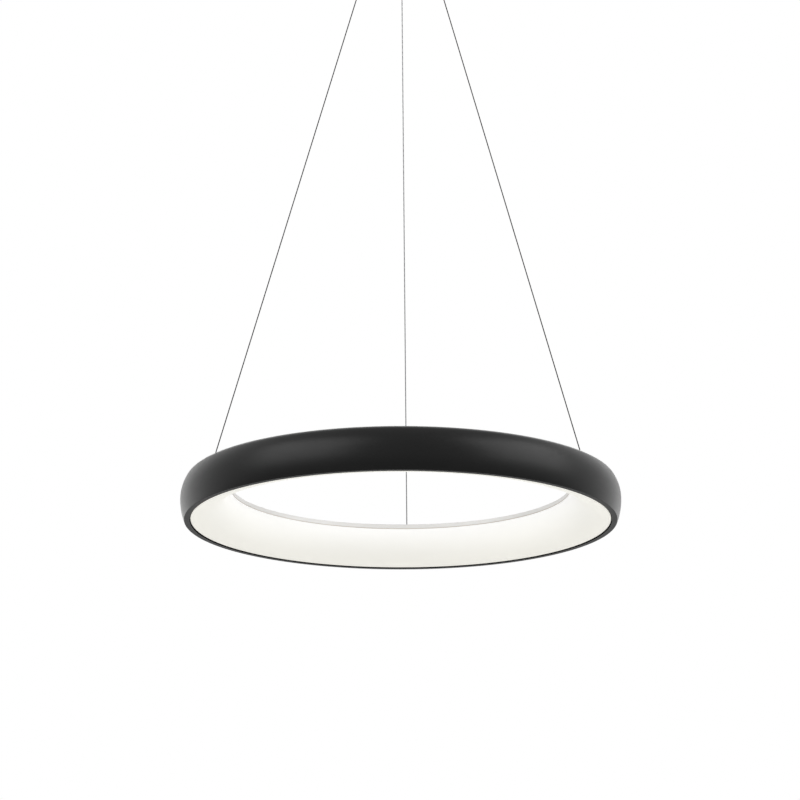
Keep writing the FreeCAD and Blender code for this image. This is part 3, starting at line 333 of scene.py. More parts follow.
def zinc_sheet(name, color):
    """Galvanised sheet: flat crystals a few millimetres wide, each with its own grey."""
    finish = Finish(name, color, 0.42, 1.0)
    grey = finish.node("RGBToBW", {}, {0: finish.cells(190.0, "Color", (1.0, 1.0, 0.4))})
    dark, light = shades(color, 0.72, 1.12)
    finish.feed("Base Color", finish.mixed(grey, dark, light))
    finish.feed("Roughness", grey * 0.22 + finish.noise(400.0) * 0.08 + 0.24)
    return finish.bump(finish.noise(1200.0, 2.0), 0.00001).material


def moulded(name, color, roughness=0.5, grain=1400.0, relief=0.00003, **constants):
    """Moulded plastic or rubber: spark-eroded grain with darker low spots, and soft clouds of shade."""
    finish = Finish(name, color, roughness, **constants)
    clouds = finish.noise(45.0, 4.0)
    pits = finish.cells(grain)
    dark, light = shades(color, 0.88, 1.05)
    finish.feed("Base Color", finish.mixed((clouds * 0.7 + pits * 0.3).limited(), dark, light))
    finish.feed("Roughness", clouds * 0.12 + (roughness - 0.06))
    return finish.bump(pits, relief).material


def circuit_resist(name, color):
    """Green solder resist over copper tracks: rows of tracks, with scattered tinned pads 2 mm across."""
    finish = Finish(name, color, 0.3)
    tracks = finish.node("TexBrick", {"offset": 0.5}, {"Vector": finish.place(), "Scale": 120.0,
                                                       "Mortar Size": 0.06}, "Fac")
    pads = finish.cells(260.0).above(0.30)
    shade = finish.mixed(tracks, color, *shades(color, 1.7))
    finish.feed("Base Color", finish.mixed(pads, (0.62, 0.62, 0.6), shade))
    finish.feed("Metallic", 1.0 - pads)
    finish.feed("Roughness", finish.noise(300.0) * 0.1 + 0.25)
    return finish.bump(tracks + pads * 0.5, 0.00004).material


def taped_coil(name, color):
    """Transformer tape: overlapping turns every 4 mm along Z, with a faint wrinkle."""
    finish = Finish(name, color, 0.35)
    lap = (finish.height() * 1570.0).sine() * 0.5 + 0.5
    wrinkle = finish.noise(220.0, 4.0)
    dark, light = shades(color, 0.7, 1.1)
    finish.feed("Base Color", finish.mixed((lap * 0.6 + wrinkle * 0.4).limited(), dark, light))
    finish.feed("Roughness", wrinkle * 0.2 + 0.25)
    return finish.bump(lap ** 6.0 + wrinkle * 0.4, 0.00008).material


def phosphor(name, color):
    """Light-emitting chips: a yellow gel window in each, a little cloudy."""
    finish = Finish(name, color, 0.3, Coat_Weight=0.3)
    gel = finish.noise(700.0)
    finish.feed("Base Color", finish.mixed(gel, *shades(color, 0.85, 1.0)))
    finish.feed("Roughness", gel * 0.1 + 0.22)
    return finish.bump(gel, 0.00002).material


def stranded_wire(name, color, metallic=1.0):
    """Seven-strand wire: six outer strands that wind round it once in 48 mm, as grooves over its own run
    and turn. The grooves are darker, as painted shade, under a little grime."""
    finish = Finish(name, color, 0.38, metallic, Specular_IOR_Level=0.15)
    run, turn = finish.along()
    strands = ((turn * 6.0 + run * 125.0) * (2.0 * math.pi)).sine() * 0.5 + 0.5
    grime = finish.noise(90.0)
    dark, light = shades(color, 0.45, 1.0)
    # Darker in the grooves between strands: painted shade, mixed with grime.
    finish.feed("Base Color", finish.mixed((strands ** 0.5 * 0.8 + grime * 0.2).limited(), dark, light))
    finish.feed("Roughness", grime * 0.15 + 0.3)
    return finish.bump(strands, 0.00012).material


def make_finishes(looks):
    """One material for each slot of the record, and more for the housing's rim, for the painted shade in
    its groove and for the two coated wires."""
    black = tuple(looks.black)
    return {
        "black_shell": powder_coat("black_powder_coat", black),
        "black_rim": powder_coat("black_rim_paint", black, 0.00003, sheen=0.3, gloss=0.05),
        # Flat black with no gloss and no sheen: painted shade in the rim's groove.
        "groove_painted_shade": powder_coat("groove_painted_shade_flat_black", black, 0.00003, sheen=0.0, gloss=0.0),
        "black_cover": powder_coat("black_panel_grain", black, 0.00009),
        "black_canopy": powder_coat("black_canopy_coat", black),
        "black_screw": powder_coat("blackened_screw", *shades(black, 1.6), 0.00001),
        "opal_diffuser": opal_acrylic("opal_acrylic", tuple(looks.opal)),
        # The lip's foot gets a painted shadow of its seam with the diffuser.
        "pale_trim": anodised("pale_trim_anodised", tuple(looks.trim), foot=lip_low[2]),
        "bare_aluminium": anodised("bare_aluminium", (0.6, 0.6, 0.61), 0.35),
        "white_strip": moulded("white_solder_resist", (0.86, 0.86, 0.83), 0.4, 2200.0),
        "led_phosphor": phosphor("chip_phosphor", (0.92, 0.78, 0.30)),
        "spring_steel": plated("spring_steel", (0.56, 0.57, 0.58), 0.34, 0.2),
        "zinc_screw": plated("zinc_plated_screw", (0.63, 0.64, 0.65), 0.32),
        "nickel_crimp": plated("nickel_crimp", (0.66, 0.64, 0.60), 0.3, 0.4),
        "nickel_fitting": plated("turned_nickel", (0.62, 0.61, 0.59), 0.26),
        "brass_tab": plated("brass", (0.75, 0.55, 0.25), 0.34, 0.5),
        "steel_wire": stranded_wire("stranded_steel", tuple(looks.steel)),
        "feed_wire": stranded_wire("coated_feed_wire", tuple(looks.feed), 0.0),
        "zinc_plate": zinc_sheet("zinc_sheet", (0.58, 0.59, 0.60)),
        "black_rubber": moulded("black_rubber", (0.018, 0.018, 0.018), 0.75, 900.0, 0.00005),
        "black_nylon": moulded("black_nylon", (0.025, 0.025, 0.026), 0.55),
        "white_plastic": moulded("white_case_plastic", tuple(looks.white), 0.5),
        "white_nylon": moulded("white_nylon", (0.78, 0.77, 0.70), 0.38, 700.0, 0.00002,
                               Subsurface_Weight=0.15, Subsurface_Scale=0.004),
        "circuit_board": circuit_resist("circuit_resist", (0.03, 0.17, 0.06)),
        "coil_wrap": taped_coil("coil_tape", (0.75, 0.53, 0.06)),
    }


# ---- surfaces --------------------------------------------------------------------------------

def grid_mesh(name, points, close_rows=False, cap_first=None, cap_last=None, run=None):
    """Mesh over a grid of points, rows by columns. Each row closes on itself, and the rows may close too.
    A cap joins the first or last row to one point. `run` gives each row's distance for the UV map; a
    column's share of the way round is the other coordinate."""
    rows, columns = points.shape[:2]
    spots = points.reshape(-1, 3)
    row_steps = rows if close_rows else rows - 1
    row, column = (part.ravel() for part in np.meshgrid(np.arange(row_steps), np.arange(columns),
                                                        indexing="ij"))
    corner_rows = np.stack([row, row, row + 1, row + 1], axis=1)
    corner_columns = np.stack([column, column + 1, column + 1, column], axis=1)
    quads = (corner_rows % rows) * columns + corner_columns % columns
    faces = quads.tolist()
    uv_rows, uv_columns = corner_rows.ravel(), corner_columns.ravel()
    for cap, edge, order in ((cap_first, 0, 1), (cap_last, rows - 1, -1)):
        if cap is None:
            continue
        spots = np.vstack([spots, np.reshape(cap, (1, 3))])
        around = np.arange(columns)
        fan = np.stack([around, np.full(columns, len(spots) - 1 - edge * columns), around + 1], axis=1)
        fan = fan[:, ::order]
        uv_rows = np.concatenate([uv_rows, np.full(fan.size, edge)])
        uv_columns = np.concatenate([uv_columns, np.where(fan > columns, 0, fan).ravel()])
        corners = np.where(fan > columns, fan, fan % columns) + edge * columns
        faces += corners.tolist()
    mesh = bpy.data.meshes.new(name)
    mesh.from_pydata(spots.tolist(), [], faces)
    along = np.asarray(run if run is not None else np.arange(rows + 1) / rows)
    along = np.append(along, along[-1])
    layer = mesh.uv_layers.new(name="run")
    layer.data.foreach_set("uv", np.stack([along[uv_rows], uv_columns / columns], axis=1).ravel())
    mesh.polygons.foreach_set("use_smooth", np.ones(len(faces), dtype=bool))
    mesh.update()
    return mesh


def piece(name, mesh, body, slot, *nodes, finish=None):
    """Put a mesh in the scene as a piece that rides on a body, has a slot's finish and replaces nodes."""
    made = bpy.data.objects.new(name, mesh)
    bpy.context.scene.collection.objects.link(made)
    mesh.materials.append(finishes[finish or slot])
    mesh.set_sharp_from_angle(angle=SHARP_ANGLE)
    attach(made, body)
    if nodes:
        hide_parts(*nodes)
    return made


def soften(made, width):
    """Round a piece's sharp edges by a small bevel."""
    bevel = made.modifiers.new("edges", "BEVEL")
    bevel.width = width
    bevel.segments = 2
    bevel.limit_method = "ANGLE"
    bevel.angle_limit = SHARP_ANGLE


def arc(start, end, radius, turn, steps):
    """Points of a circle's arc from start to end in the (r, z) plane. The centre lies beside the chord's
    middle, to its left for a turn of +1, at the height that the radius leaves."""
    start, end = np.array(start), np.array(end)
    chord = end - start
    half = np.linalg.norm(chord) / 2
    left = np.array([-chord[1], chord[0]]) / (2 * half)
    centre = (start + end) / 2 + left * turn * math.sqrt(max(radius ** 2 - half ** 2, 0.0))
    first, last = (math.atan2(*(spot - centre)[::-1]) for spot in (start, end))
    sweep = (last - first + math.pi) % (2 * math.pi) - math.pi
    angles = first + sweep * np.linspace(0.0, 1.0, steps)
    return centre + radius * np.stack([np.cos(angles), np.sin(angles)], axis=1)


def outline(*parts):
    """One list of (r, z) points from corners and arcs, without the points that repeat."""
    spots = np.vstack([np.atleast_2d(np.asarray(part, dtype=float)) for part in parts])
    fresh = np.linalg.norm(spots - np.roll(spots, 1, axis=0), axis=1) > 1e-7
    return spots[fresh]


def revolved(profile, segments, level=0.0):
    """Ring of points: each profile point (r, z) goes round Z as (r cos a, r sin a, z + level)."""
    turn = np.linspace(0.0, 2.0 * math.pi, segments, endpoint=False)
    r, z = profile[:, :1], profile[:, 1:]
    return np.stack([r * np.cos(turn), r * np.sin(turn), z + level + 0.0 * turn], axis=2)


# ---- ring ------------------------------------------------------------------------------------

class RingSection:
    """Measures of the ring's section that several pieces share, from its axis and its rim plane. The outer
    wall's arc has the radius `under` below its widest place and `over` above it, and the top's arc has
    the radius `top`. (across, up) points from the middle of the crest's rounding to the shoulder."""

    def __init__(self, sizes):
        s = self.sizes = sizes
        self.crest = s.ring_radius - s.crest_inset
        self.rim_outer = s.ring_radius - s.rim_inset
        self.rim_inner = self.rim_outer - s.rim_width
        self.under = (s.rim_inset ** 2 + s.belt_height ** 2) / (2 * s.rim_inset)
        rise, spare = s.ring_height - s.belt_height, s.crest_inset - s.crest_round
        self.over = (s.crest_inset ** 2 + rise ** 2 - 2 * rise * s.crest_round) / (2 * spare)
        self.across = (self.over - s.crest_inset) / (self.over - s.crest_round)
        self.up = (rise - s.crest_round) / (self.over - s.crest_round)
        self.lip_outer = s.lip_radius + s.lip_wall
        fall = s.ring_height - s.lip_top
        self.top = ((self.crest - self.lip_outer) ** 2 + fall ** 2) / (2 * fall)
        self.seat = s.ring_height - s.rebate_depth

    def top_at(self, radius, sink=0.0):
        """Height of the ring's top at a radius: a circle about the point under the crest."""
        high = self.sizes.ring_height - self.top
        return high + math.sqrt((self.top - sink) ** 2 - (self.crest - radius) ** 2)

    def shoulder(self, sink=0.0):
        """Where the outer wall's arc meets the crest's rounding."""
        bend = self.sizes.crest_round - sink
        return (self.crest + bend * self.across,
                self.sizes.ring_height - self.sizes.crest_round + bend * self.up)


class PENDANT_OT_housing(bpy.types.Operator):
    """Black housing: its section's arcs are carried round the ring's axis"""
    bl_idname = "pendant.housing"
    bl_label = "Housing"

    def execute(self, context):
        s, ring = context.scene.pendant_ring, RingSection(context.scene.pendant_ring)
        wall, knee = s.shell_wall, s.rebate_radius + s.flange_wall
        foot = (s.ring_radius - ring.under
                + math.sqrt((ring.under - wall) ** 2 - (s.belt_height - wall) ** 2), wall)
        flange_low = ring.seat - s.flange_wall
        seat_inner = s.rebate_radius - s.rebate_width
        profile = outline(
            (ring.rim_inner, s.groove_depth), (ring.rim_inner + s.groove_width, s.groove_depth),
            (ring.rim_inner + s.groove_width, 0.0),
            arc((ring.rim_outer, 0.0), (s.ring_radius, s.belt_height), ring.under, 1, 22),
            arc((s.ring_radius, s.belt_height), ring.shoulder(), ring.over, 1, 22),
            arc(ring.shoulder(), (ring.crest, s.ring_height), s.crest_round, 1, 14),
            arc((ring.crest, s.ring_height), (s.rebate_radius, ring.top_at(s.rebate_radius)), ring.top, 1, 5),
            (s.rebate_radius, ring.seat), (seat_inner, ring.seat), (seat_inner, flange_low),
            (knee, flange_low), (knee, ring.top_at(knee, wall)),
            arc((ring.crest, s.ring_height - wall), ring.shoulder(wall), s.crest_round - wall, -1, 8),
            arc(ring.shoulder(wall), (s.ring_radius - wall, s.belt_height), ring.over - wall, -1, 10),
            arc((s.ring_radius - wall, s.belt_height), foot, ring.under - wall, -1, 10),
            (ring.rim_inner, wall))
        mesh = grid_mesh("housing", revolved(profile, s.segments, s.rim_level), close_rows=True)
        housing = piece("housing", mesh, "ring", "black_shell", "ring_shell")
        mesh.materials.append(finishes["black_rim"])
        mesh.materials.append(finishes["groove_painted_shade"])
        spots = np.empty(len(mesh.vertices) * 3)
        mesh.vertices.foreach_get("co", spots)
        corners = np.empty(len(mesh.loops), dtype=int)
        mesh.loops.foreach_get("vertex_index", corners)
        spots = spots.reshape(-1, 3)[corners].reshape(-1, 4, 3)
        rim = spots[:, :, 2].max(axis=1) < s.rim_level + 1.01 * s.groove_depth
        reach = np.hypot(spots[:, :, 0], spots[:, :, 1]).max(axis=1)
        # Faces in the rim's groove get the flat black of painted shade.
        groove = rim & (reach < ring.rim_inner + 1.01 * s.groove_width)
        mesh.polygons.foreach_set("material_index", rim.astype(int) + groove)
        soften(housing, s.edge_round)
        return {"FINISHED"}


class PENDANT_OT_top_panel(bpy.types.Operator):
    """Black top panel: a shallow arc from the housing's recess to the lip, round the axis"""
    bl_idname = "pendant.top_panel"
    bl_label = "Top panel"

    def execute(self, context):
        s, ring = context.scene.pendant_ring, RingSection(context.scene.pendant_ring)
        outer, inner = s.rebate_radius - s.gap, ring.lip_outer + s.gap
        step, wall = s.rebate_radius - s.rebate_width - s.gap, s.flange_wall
        profile = outline(
            (outer, ring.seat),
            arc((outer, ring.top_at(outer)), (inner, ring.top_at(inner)), ring.top, 1, 14),
            arc((inner, ring.top_at(inner, wall)), (step, ring.top_at(step, wall)), ring.top - wall, -1, 10),
            (step, ring.seat))
        panel = grid_mesh("panel", revolved(profile, s.segments, s.rim_level), close_rows=True)
        screw_low, screw_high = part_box("cover_screws")
        seat = screw_high[2] - s.head_height
        narrow, wide = s.shank_radius + s.gap / 2, s.head_radius + s.gap / 2
        clear = 0.01                                        # the bore ends this far above the panel
        bottom, mouth = screw_low[2], screw_high[2] + clear
        bore = np.array([(narrow, bottom), (narrow, seat), (wide, seat), (wide, mouth)])
        turns = about_z(SCREW_AZIMUTHS)
        spot = np.array([s.rebate_radius - s.rebate_width / 2, 0.0, 0.0])
        hole = grid_mesh("bore", revolved(bore, 40), cap_first=(0, 0, bottom), cap_last=(0, 0, mouth))
        mesh = cut_away("panel", panel, repeated("bores", hole, turns, turns @ spot))
        soften(piece("top_panel", mesh, "ring", "black_cover", "top_cover"), s.edge_round)
        return {"FINISHED"}


class PENDANT_OT_opal(bpy.types.Operator):
    """Opal diffuser: a quarter round from the rim up to the lip, carried round the axis"""
    bl_idname = "pendant.opal"
    bl_label = "Opal diffuser"

    def execute(self, context):
        s, ring = context.scene.pendant_ring, RingSection(context.scene.pendant_ring)
        edge, wall, low = ring.rim_inner - 2 * s.gap, s.diffuser_wall, s.diffuser_step
        top = s.lip_bottom - s.gap
        rise = top - low
        bend = ((edge - s.lip_radius) ** 2 + rise ** 2) / (2 * rise)
        back = edge - math.sqrt((bend - wall) ** 2 - (low + bend - top) ** 2)
        foot = ring.rim_inner + s.diffuser_foot
        profile = outline(
            arc((s.lip_radius, top), (edge, low), bend, 1, 40),
            (edge, s.shell_wall), (foot, s.shell_wall), (foot, low + wall), (edge, low + wall),
            arc((edge, low + wall), (back, top), bend - wall, -1, 20))
        mesh = grid_mesh("opal_diffuser", revolved(profile, s.segments, s.rim_level), close_rows=True)
        soften(piece("opal_diffuser", mesh, "ring", "opal_diffuser", "diffuser"), s.edge_round / 2)
        return {"FINISHED"}


class PENDANT_OT_lip(bpy.types.Operator):
    """Pale lip round the open middle: an upright band with a flange behind its foot"""
    bl_idname = "pendant.lip"
    bl_label = "Lip"

    def execute(self, context):
        s, ring = context.scene.pendant_ring, RingSection(context.scene.pendant_ring)
        outer, shelf = ring.lip_outer, s.lip_bottom + s.lip_wall
        upright = np.stack([np.full(6, s.lip_radius), np.linspace(s.lip_top, s.lip_bottom, 6)], axis=1)
        profile = outline(upright, (outer + s.lip_flange, s.lip_bottom), (outer + s.lip_flange, shelf),
                          (outer, shelf), (outer, s.lip_top))
        mesh = grid_mesh("pale_lip", revolved(profile, s.segments, s.rim_level), close_rows=True)
        soften(piece("pale_lip", mesh, "ring", "pale_trim", "lip_ring"), s.edge_round / 2)
        return {"FINISHED"}


# ---- wires -----------------------------------------------------------------------------------

def travel(joint):
    """How far a sliding joint goes from rest, in metres."""
    return next(max(one["range_m"]) for one in frame["joints"] if one["name"] == joint)


def route_line(route):
    """Points of the smooth line (a NURBS spline of order 3) that a route's points control."""
    curve = bpy.data.curves.new("route", "CURVE")
    curve.dimensions = "3D"
    curve.resolution_u = 16
    spline = curve.splines.new("NURBS")
    spline.points.add(len(route) - 1)
    spline.points.foreach_set("co", np.hstack([route, np.ones((len(route), 1))]).ravel())
    spline.order_u = 3
    spline.use_endpoint_u = True
    holder = bpy.data.objects.new("route", curve)
    line = bpy.data.meshes.new_from_object(holder)
    spots = np.empty(len(line.vertices) * 3)
    line.vertices.foreach_get("co", spots)
    bpy.data.objects.remove(holder)
    bpy.data.curves.remove(curve)
    bpy.data.meshes.remove(line)
    return spots.reshape(-1, 3)


def tube(name, line, radius, across, columns=12):
    """Round tube: each point p of the line carries the circle p + radius (n cos a + b sin a), where b is
    the direction across the line's own plane and n is square to b and to the line."""
    way = np.gradient(line, axis=0)
    way /= np.linalg.norm(way, axis=1, keepdims=True)
    b = np.broadcast_to(np.asarray(across), line.shape)
    n = np.cross(b, way)
    angle = np.linspace(0.0, 2.0 * math.pi, columns, endpoint=False)[None, :, None]
    points = line[:, None] + radius * (n[:, None] * np.cos(angle) + b[:, None] * np.sin(angle))
    steps = np.linalg.norm(np.diff(line, axis=0), axis=1)
    run = np.concatenate([[0.0], np.cumsum(steps), [0.0]])
    return grid_mesh(name, points, cap_first=line[0], cap_last=line[-1], run=run)


class PENDANT_OT_wires(bpy.types.Operator):
    """Suspension wires: tubes on a smooth line through the route, up to and through the grippers"""
    bl_idname = "pendant.wires"
    bl_label = "Suspension wires"

    def execute(self, context):
        s = context.scene.pendant_wires
        outer, inner = s.anchor_circle, s.gripper_circle
        long_run = np.array([inner - outer, s.turn_high - s.turn_low])
        long_run /= np.linalg.norm(long_run)
        over_ring = np.array([outer, s.turn_low]) + long_run * s.straight
        under_canopy = np.array([inner, s.turn_high]) - long_run * s.straight
        low_route = np.array([(outer, s.foot_level), (outer, s.turn_low), over_ring, under_canopy])
        high_route = np.array([under_canopy, (inner, s.turn_high), (inner, s.turn_high + s.straight),
                               (inner, s.head_level)])
        keep = 1.0 - travel("ring_lift") / (under_canopy[1] - s.turn_low)
        for side, azimuth in SIDES.items():
            turn = math.radians(azimuth)
            out = np.array([math.cos(turn), math.sin(turn), 0.0])
            across = np.array([-out[1], out[0], 0.0])
            lines = [route_line(route[:, :1] * out + route[:, 1:] * np.array([0.0, 0.0, 1.0]))
                     for route in (low_route, high_route)]
            node = "suspension_wire_" + side
            finish = "steel_wire" if side == "rear" else "feed_wire"
            low, high = (piece(name, tube(name, line, s.diameter / 2, across), "canopy", "steel_wire", node,
                               finish=finish)
                         for name, line in zip((f"wire_{side}", f"wire_{side}_in_gripper"), lines))
            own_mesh(low)
        return {"FINISHED"}


# ---- small pieces ----------------------------------------------------------------------------

def repeated(name, mesh, turns, shifts):
    """One mesh with a copy for each 3 x 3 turn and shift: every vertex p becomes turn p + shift."""
    count, loops = len(mesh.vertices), len(mesh.loops)
    spots, corners, uv = np.empty(count * 3), np.empty(loops, dtype=int), np.empty(loops * 2)
    starts = np.empty(len(mesh.polygons), dtype=int)
    mesh.vertices.foreach_get("co", spots)
    mesh.loops.foreach_get("vertex_index", corners)
    mesh.polygons.foreach_get("loop_start", starts)
    mesh.uv_layers["run"].data.foreach_get("uv", uv)
    copies = np.einsum("kij,nj->kni", turns, spots.reshape(-1, 3)) + np.asarray(shifts)[:, None]
    faces = [part.tolist() for part in np.split(corners, starts[1:])]
    offsets = range(0, count * len(turns), count)
    made = bpy.data.meshes.new(name)
    made.from_pydata(copies.reshape(-1, 3).tolist(), [],
                     [[corner + offset for corner in face] for offset in offsets for face in faces])
    made.uv_layers.new(name="run").data.foreach_set("uv", np.tile(uv, len(turns)))
    made.polygons.foreach_set("use_smooth", np.ones(len(made.polygons), dtype=bool))
    made.update()
    bpy.data.meshes.remove(mesh)
    return made


def cut_away(name, mesh, cutter):
    """The mesh less a closed cutter, worked out once so that no live cut is left on the piece."""
    whole, tool = bpy.data.objects.new(name, mesh), bpy.data.objects.new("cutter", cutter)
    for thing in (whole, tool):
        bpy.context.scene.collection.objects.link(thing)
    cut = whole.modifiers.new("cut", "BOOLEAN")
    cut.object, cut.solver = tool, "EXACT"
    solved = whole.evaluated_get(bpy.context.evaluated_depsgraph_get())
    result = bpy.data.meshes.new_from_object(solved)
    for thing in (whole, tool):
        bpy.data.objects.remove(thing)
    work = bmesh.new()
    work.from_mesh(result)
    bmesh.ops.dissolve_degenerate(work, dist=1e-6, edges=work.edges[:])
    work.to_mesh(result)
    work.free()
    result.polygons.foreach_set("use_smooth", np.ones(len(result.polygons), dtype=bool))
    return result


def about_z(azimuths):
    """Matrices that turn +X to each azimuth."""
    angle = np.radians(azimuths)
    zero, one = np.zeros_like(angle), np.ones_like(angle)
    rows = [[np.cos(angle), -np.sin(angle), zero], [np.sin(angle), np.cos(angle), zero], [zero, zero, one]]
    return np.moveaxis(np.array(rows), 2, 0)


def socket_screw(head, height, shank, reach, columns=36):
    """Screw with a hexagon socket, its head's top at z = 0: circles up the shank and over the head, then
    hexagons of radius a / cos(angle from the nearest flat's middle) down into the socket."""
    turn = np.linspace(0.0, 2.0 * math.pi, columns, endpoint=False)
    hexagon = 1.0 / np.cos((turn + math.pi / 6) % (math.pi / 3) - math.pi / 6)
    edge, flat, bottom = head * 0.12, head * 0.42, -height * 0.62
    rows = [(shank * 0.7, -reach, 0), (shank, -reach + shank * 0.3, 0), (shank, -height, 0),
            (head - edge / 2, -height, 0), (head, -height + edge / 2, 0), (head, -edge, 0),
            (head - edge * 0.3, -edge * 0.3, 0), (head - edge, 0.0, 0), (flat * 1.12, 0.0, 1),
            (flat, -edge * 0.4, 1), (flat, bottom, 1)]
    radius = np.array([r * (hexagon if six else np.ones(columns)) for r, z, six in rows])
    z = np.repeat(np.array([[z] for r, z, six in rows]), columns, axis=1)
    points = np.stack([radius * np.cos(turn), radius * np.sin(turn), z], axis=2)
    return grid_mesh("screw", points[::-1], cap_first=(0, 0, bottom), cap_last=(0, 0, -reach))


class PENDANT_OT_panel_screws(bpy.types.Operator):
    """Socket screws that hold the top panel: one screw's surface, repeated round the axis"""
    bl_idname = "pendant.panel_screws"
    bl_label = "Panel screws"

    def execute(self, context):
        s, ring = context.scene.pendant_ring, RingSection(context.scene.pendant_ring)
        low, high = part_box("cover_screws")
        turns = about_z(SCREW_AZIMUTHS)
        spot = np.array([s.rebate_radius - s.rebate_width / 2, 0.0, high[2]])
        screw = socket_screw(s.head_radius, s.head_height, s.shank_radius, high[2] - low[2])
        mesh = repeated("panel_screws", screw, turns, turns @ spot)
        piece("panel_screws", mesh, "ring", "black_screw", "cover_screws")
        return {"FINISHED"}


class PENDANT_OT_knobs(bpy.types.Operator):
    """Knurled knobs on the canopy's side: radius R (1 + k cos na), where k fades out at both ends"""
    bl_idname = "pendant.knobs"
    bl_label = "Canopy knobs"

    def execute(self, context):
        low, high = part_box("canopy_knobs")
        head, shank, chamfer, dish = (high[2] - low[2]) / 2, 0.002, 0.0004, 0.0006
        reach, gap, knurl, ribs = 0.0205, 0.0003, 0.03, 20.0
        tip, root = high[0], high[0] - reach
        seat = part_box("canopy_cup")[1][0] + gap
        # Each row is a radius, a place along X and the share of the knurl at that place.
        rows = np.array([(shank - chamfer, root, 0), (shank, root + chamfer, 0), (shank, seat, 0),
                         (head * 0.86, seat, 0), (head * 0.94, seat + 0.0005, 0.5),
                         (head * 0.965, seat + 0.001, 1), (head * 0.965, tip - 0.0015, 1),
                         (head * 0.94, tip - 0.0009, 0.5), (head * 0.88, tip - 0.0003, 0),
                         (head * 0.80, tip, 0), (head * 0.5, tip - 0.0002, 0), (head * 0.46, tip - dish, 0)])
        turn = np.linspace(0.0, 2.0 * math.pi, 120, endpoint=False)
        radius = rows[:, :1] * (1.0 + knurl * rows[:, 2:] * np.cos(ribs * turn))
        x = np.repeat(rows[:, 1:2], len(turn), axis=1)
        points = np.stack([x, radius * np.cos(turn), radius * np.sin(turn)], axis=2)
        knob = grid_mesh("knob", points[::-1], cap_first=(tip - dish, 0, 0), cap_last=(root, 0, 0))
        middle = [0.0, 0.0, (low[2] + high[2]) / 2]
        mesh = repeated("canopy_knob_pair", knob, about_z(np.array([0.0, 180.0])), [middle, middle])
        piece("canopy_knob_pair", mesh, "canopy", "black_screw", "canopy_knobs")
        return {"FINISHED"}


class PENDANT_OT_dress(bpy.types.Operator):
    """Gives every CAD piece the finish of its slot"""
    bl_idname = "pendant.dress"
    bl_label = "Finishes"

    def execute(self, context):
        for part in frame["record"]["subparts"]:
            node = frame["nodes"][part["node"]]
            for holder in node.material_slots:
                holder.material = finishes[part["material_slot"]]
        return {"FINISHED"}


class PENDANT_OT_springs(bpy.types.Operator):
    """Gripper springs: each gets its own copy of its mesh; how short a pressed button would make it is worked out
    but not used
    """
    bl_idname = "pendant.springs"
    bl_label = "Gripper springs"

    def execute(self, context):
        for side in SIDES:
            spring, joint = "gripper_spring_" + side, "release_" + side
            low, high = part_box(spring)
            stroke = travel(joint)
            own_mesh(frame["nodes"][spring], joint, axis=(0, 0, 1), anchor=tuple(high),
                      keep=1.0 - stroke / (high[2] - low[2]))
        return {"FINISHED"}


# ---- stage -----------------------------------------------------------------------------------

class StageSettings(bpy.types.PropertyGroup):
    """Camera and light."""
    camera_place: bpy.props.FloatVectorProperty(
        name="Camera", description="Camera's place", default=(0.1298, -4.0860, -1.8388), precision=4,
        subtype="TRANSLATION", unit="LENGTH")
    camera_pitch: degrees("Pitch", "Camera's angle above the horizon", 15.6)
    camera_turn: degrees("Turn", "Camera's turn about Z", 1.834)
    focal_length: bpy.props.FloatProperty(name="Focal length", description="On a 36 mm wide sensor",
                                          default=136.5, unit="CAMERA")
    floor_level: altitude("Floor level", "Height of the floor under the ceiling", -2.5)
    floor_radius: length("Floor radius", "Radius of the round floor", 9.0)
    floor_glow: bpy.props.FloatProperty(name="Floor's whiteness", description="White added to the floor",
                                        default=0.3, min=0.0, max=1.0)
    key_power: watts("Key light", "Power of the left lamp", 132.0)
    fill_power: watts("Fill light", "Power of the right lamp", 126.0)
    ambient: bpy.props.FloatProperty(name="Ambient", description="Light from all round", default=0.13,
                                     min=0.0)


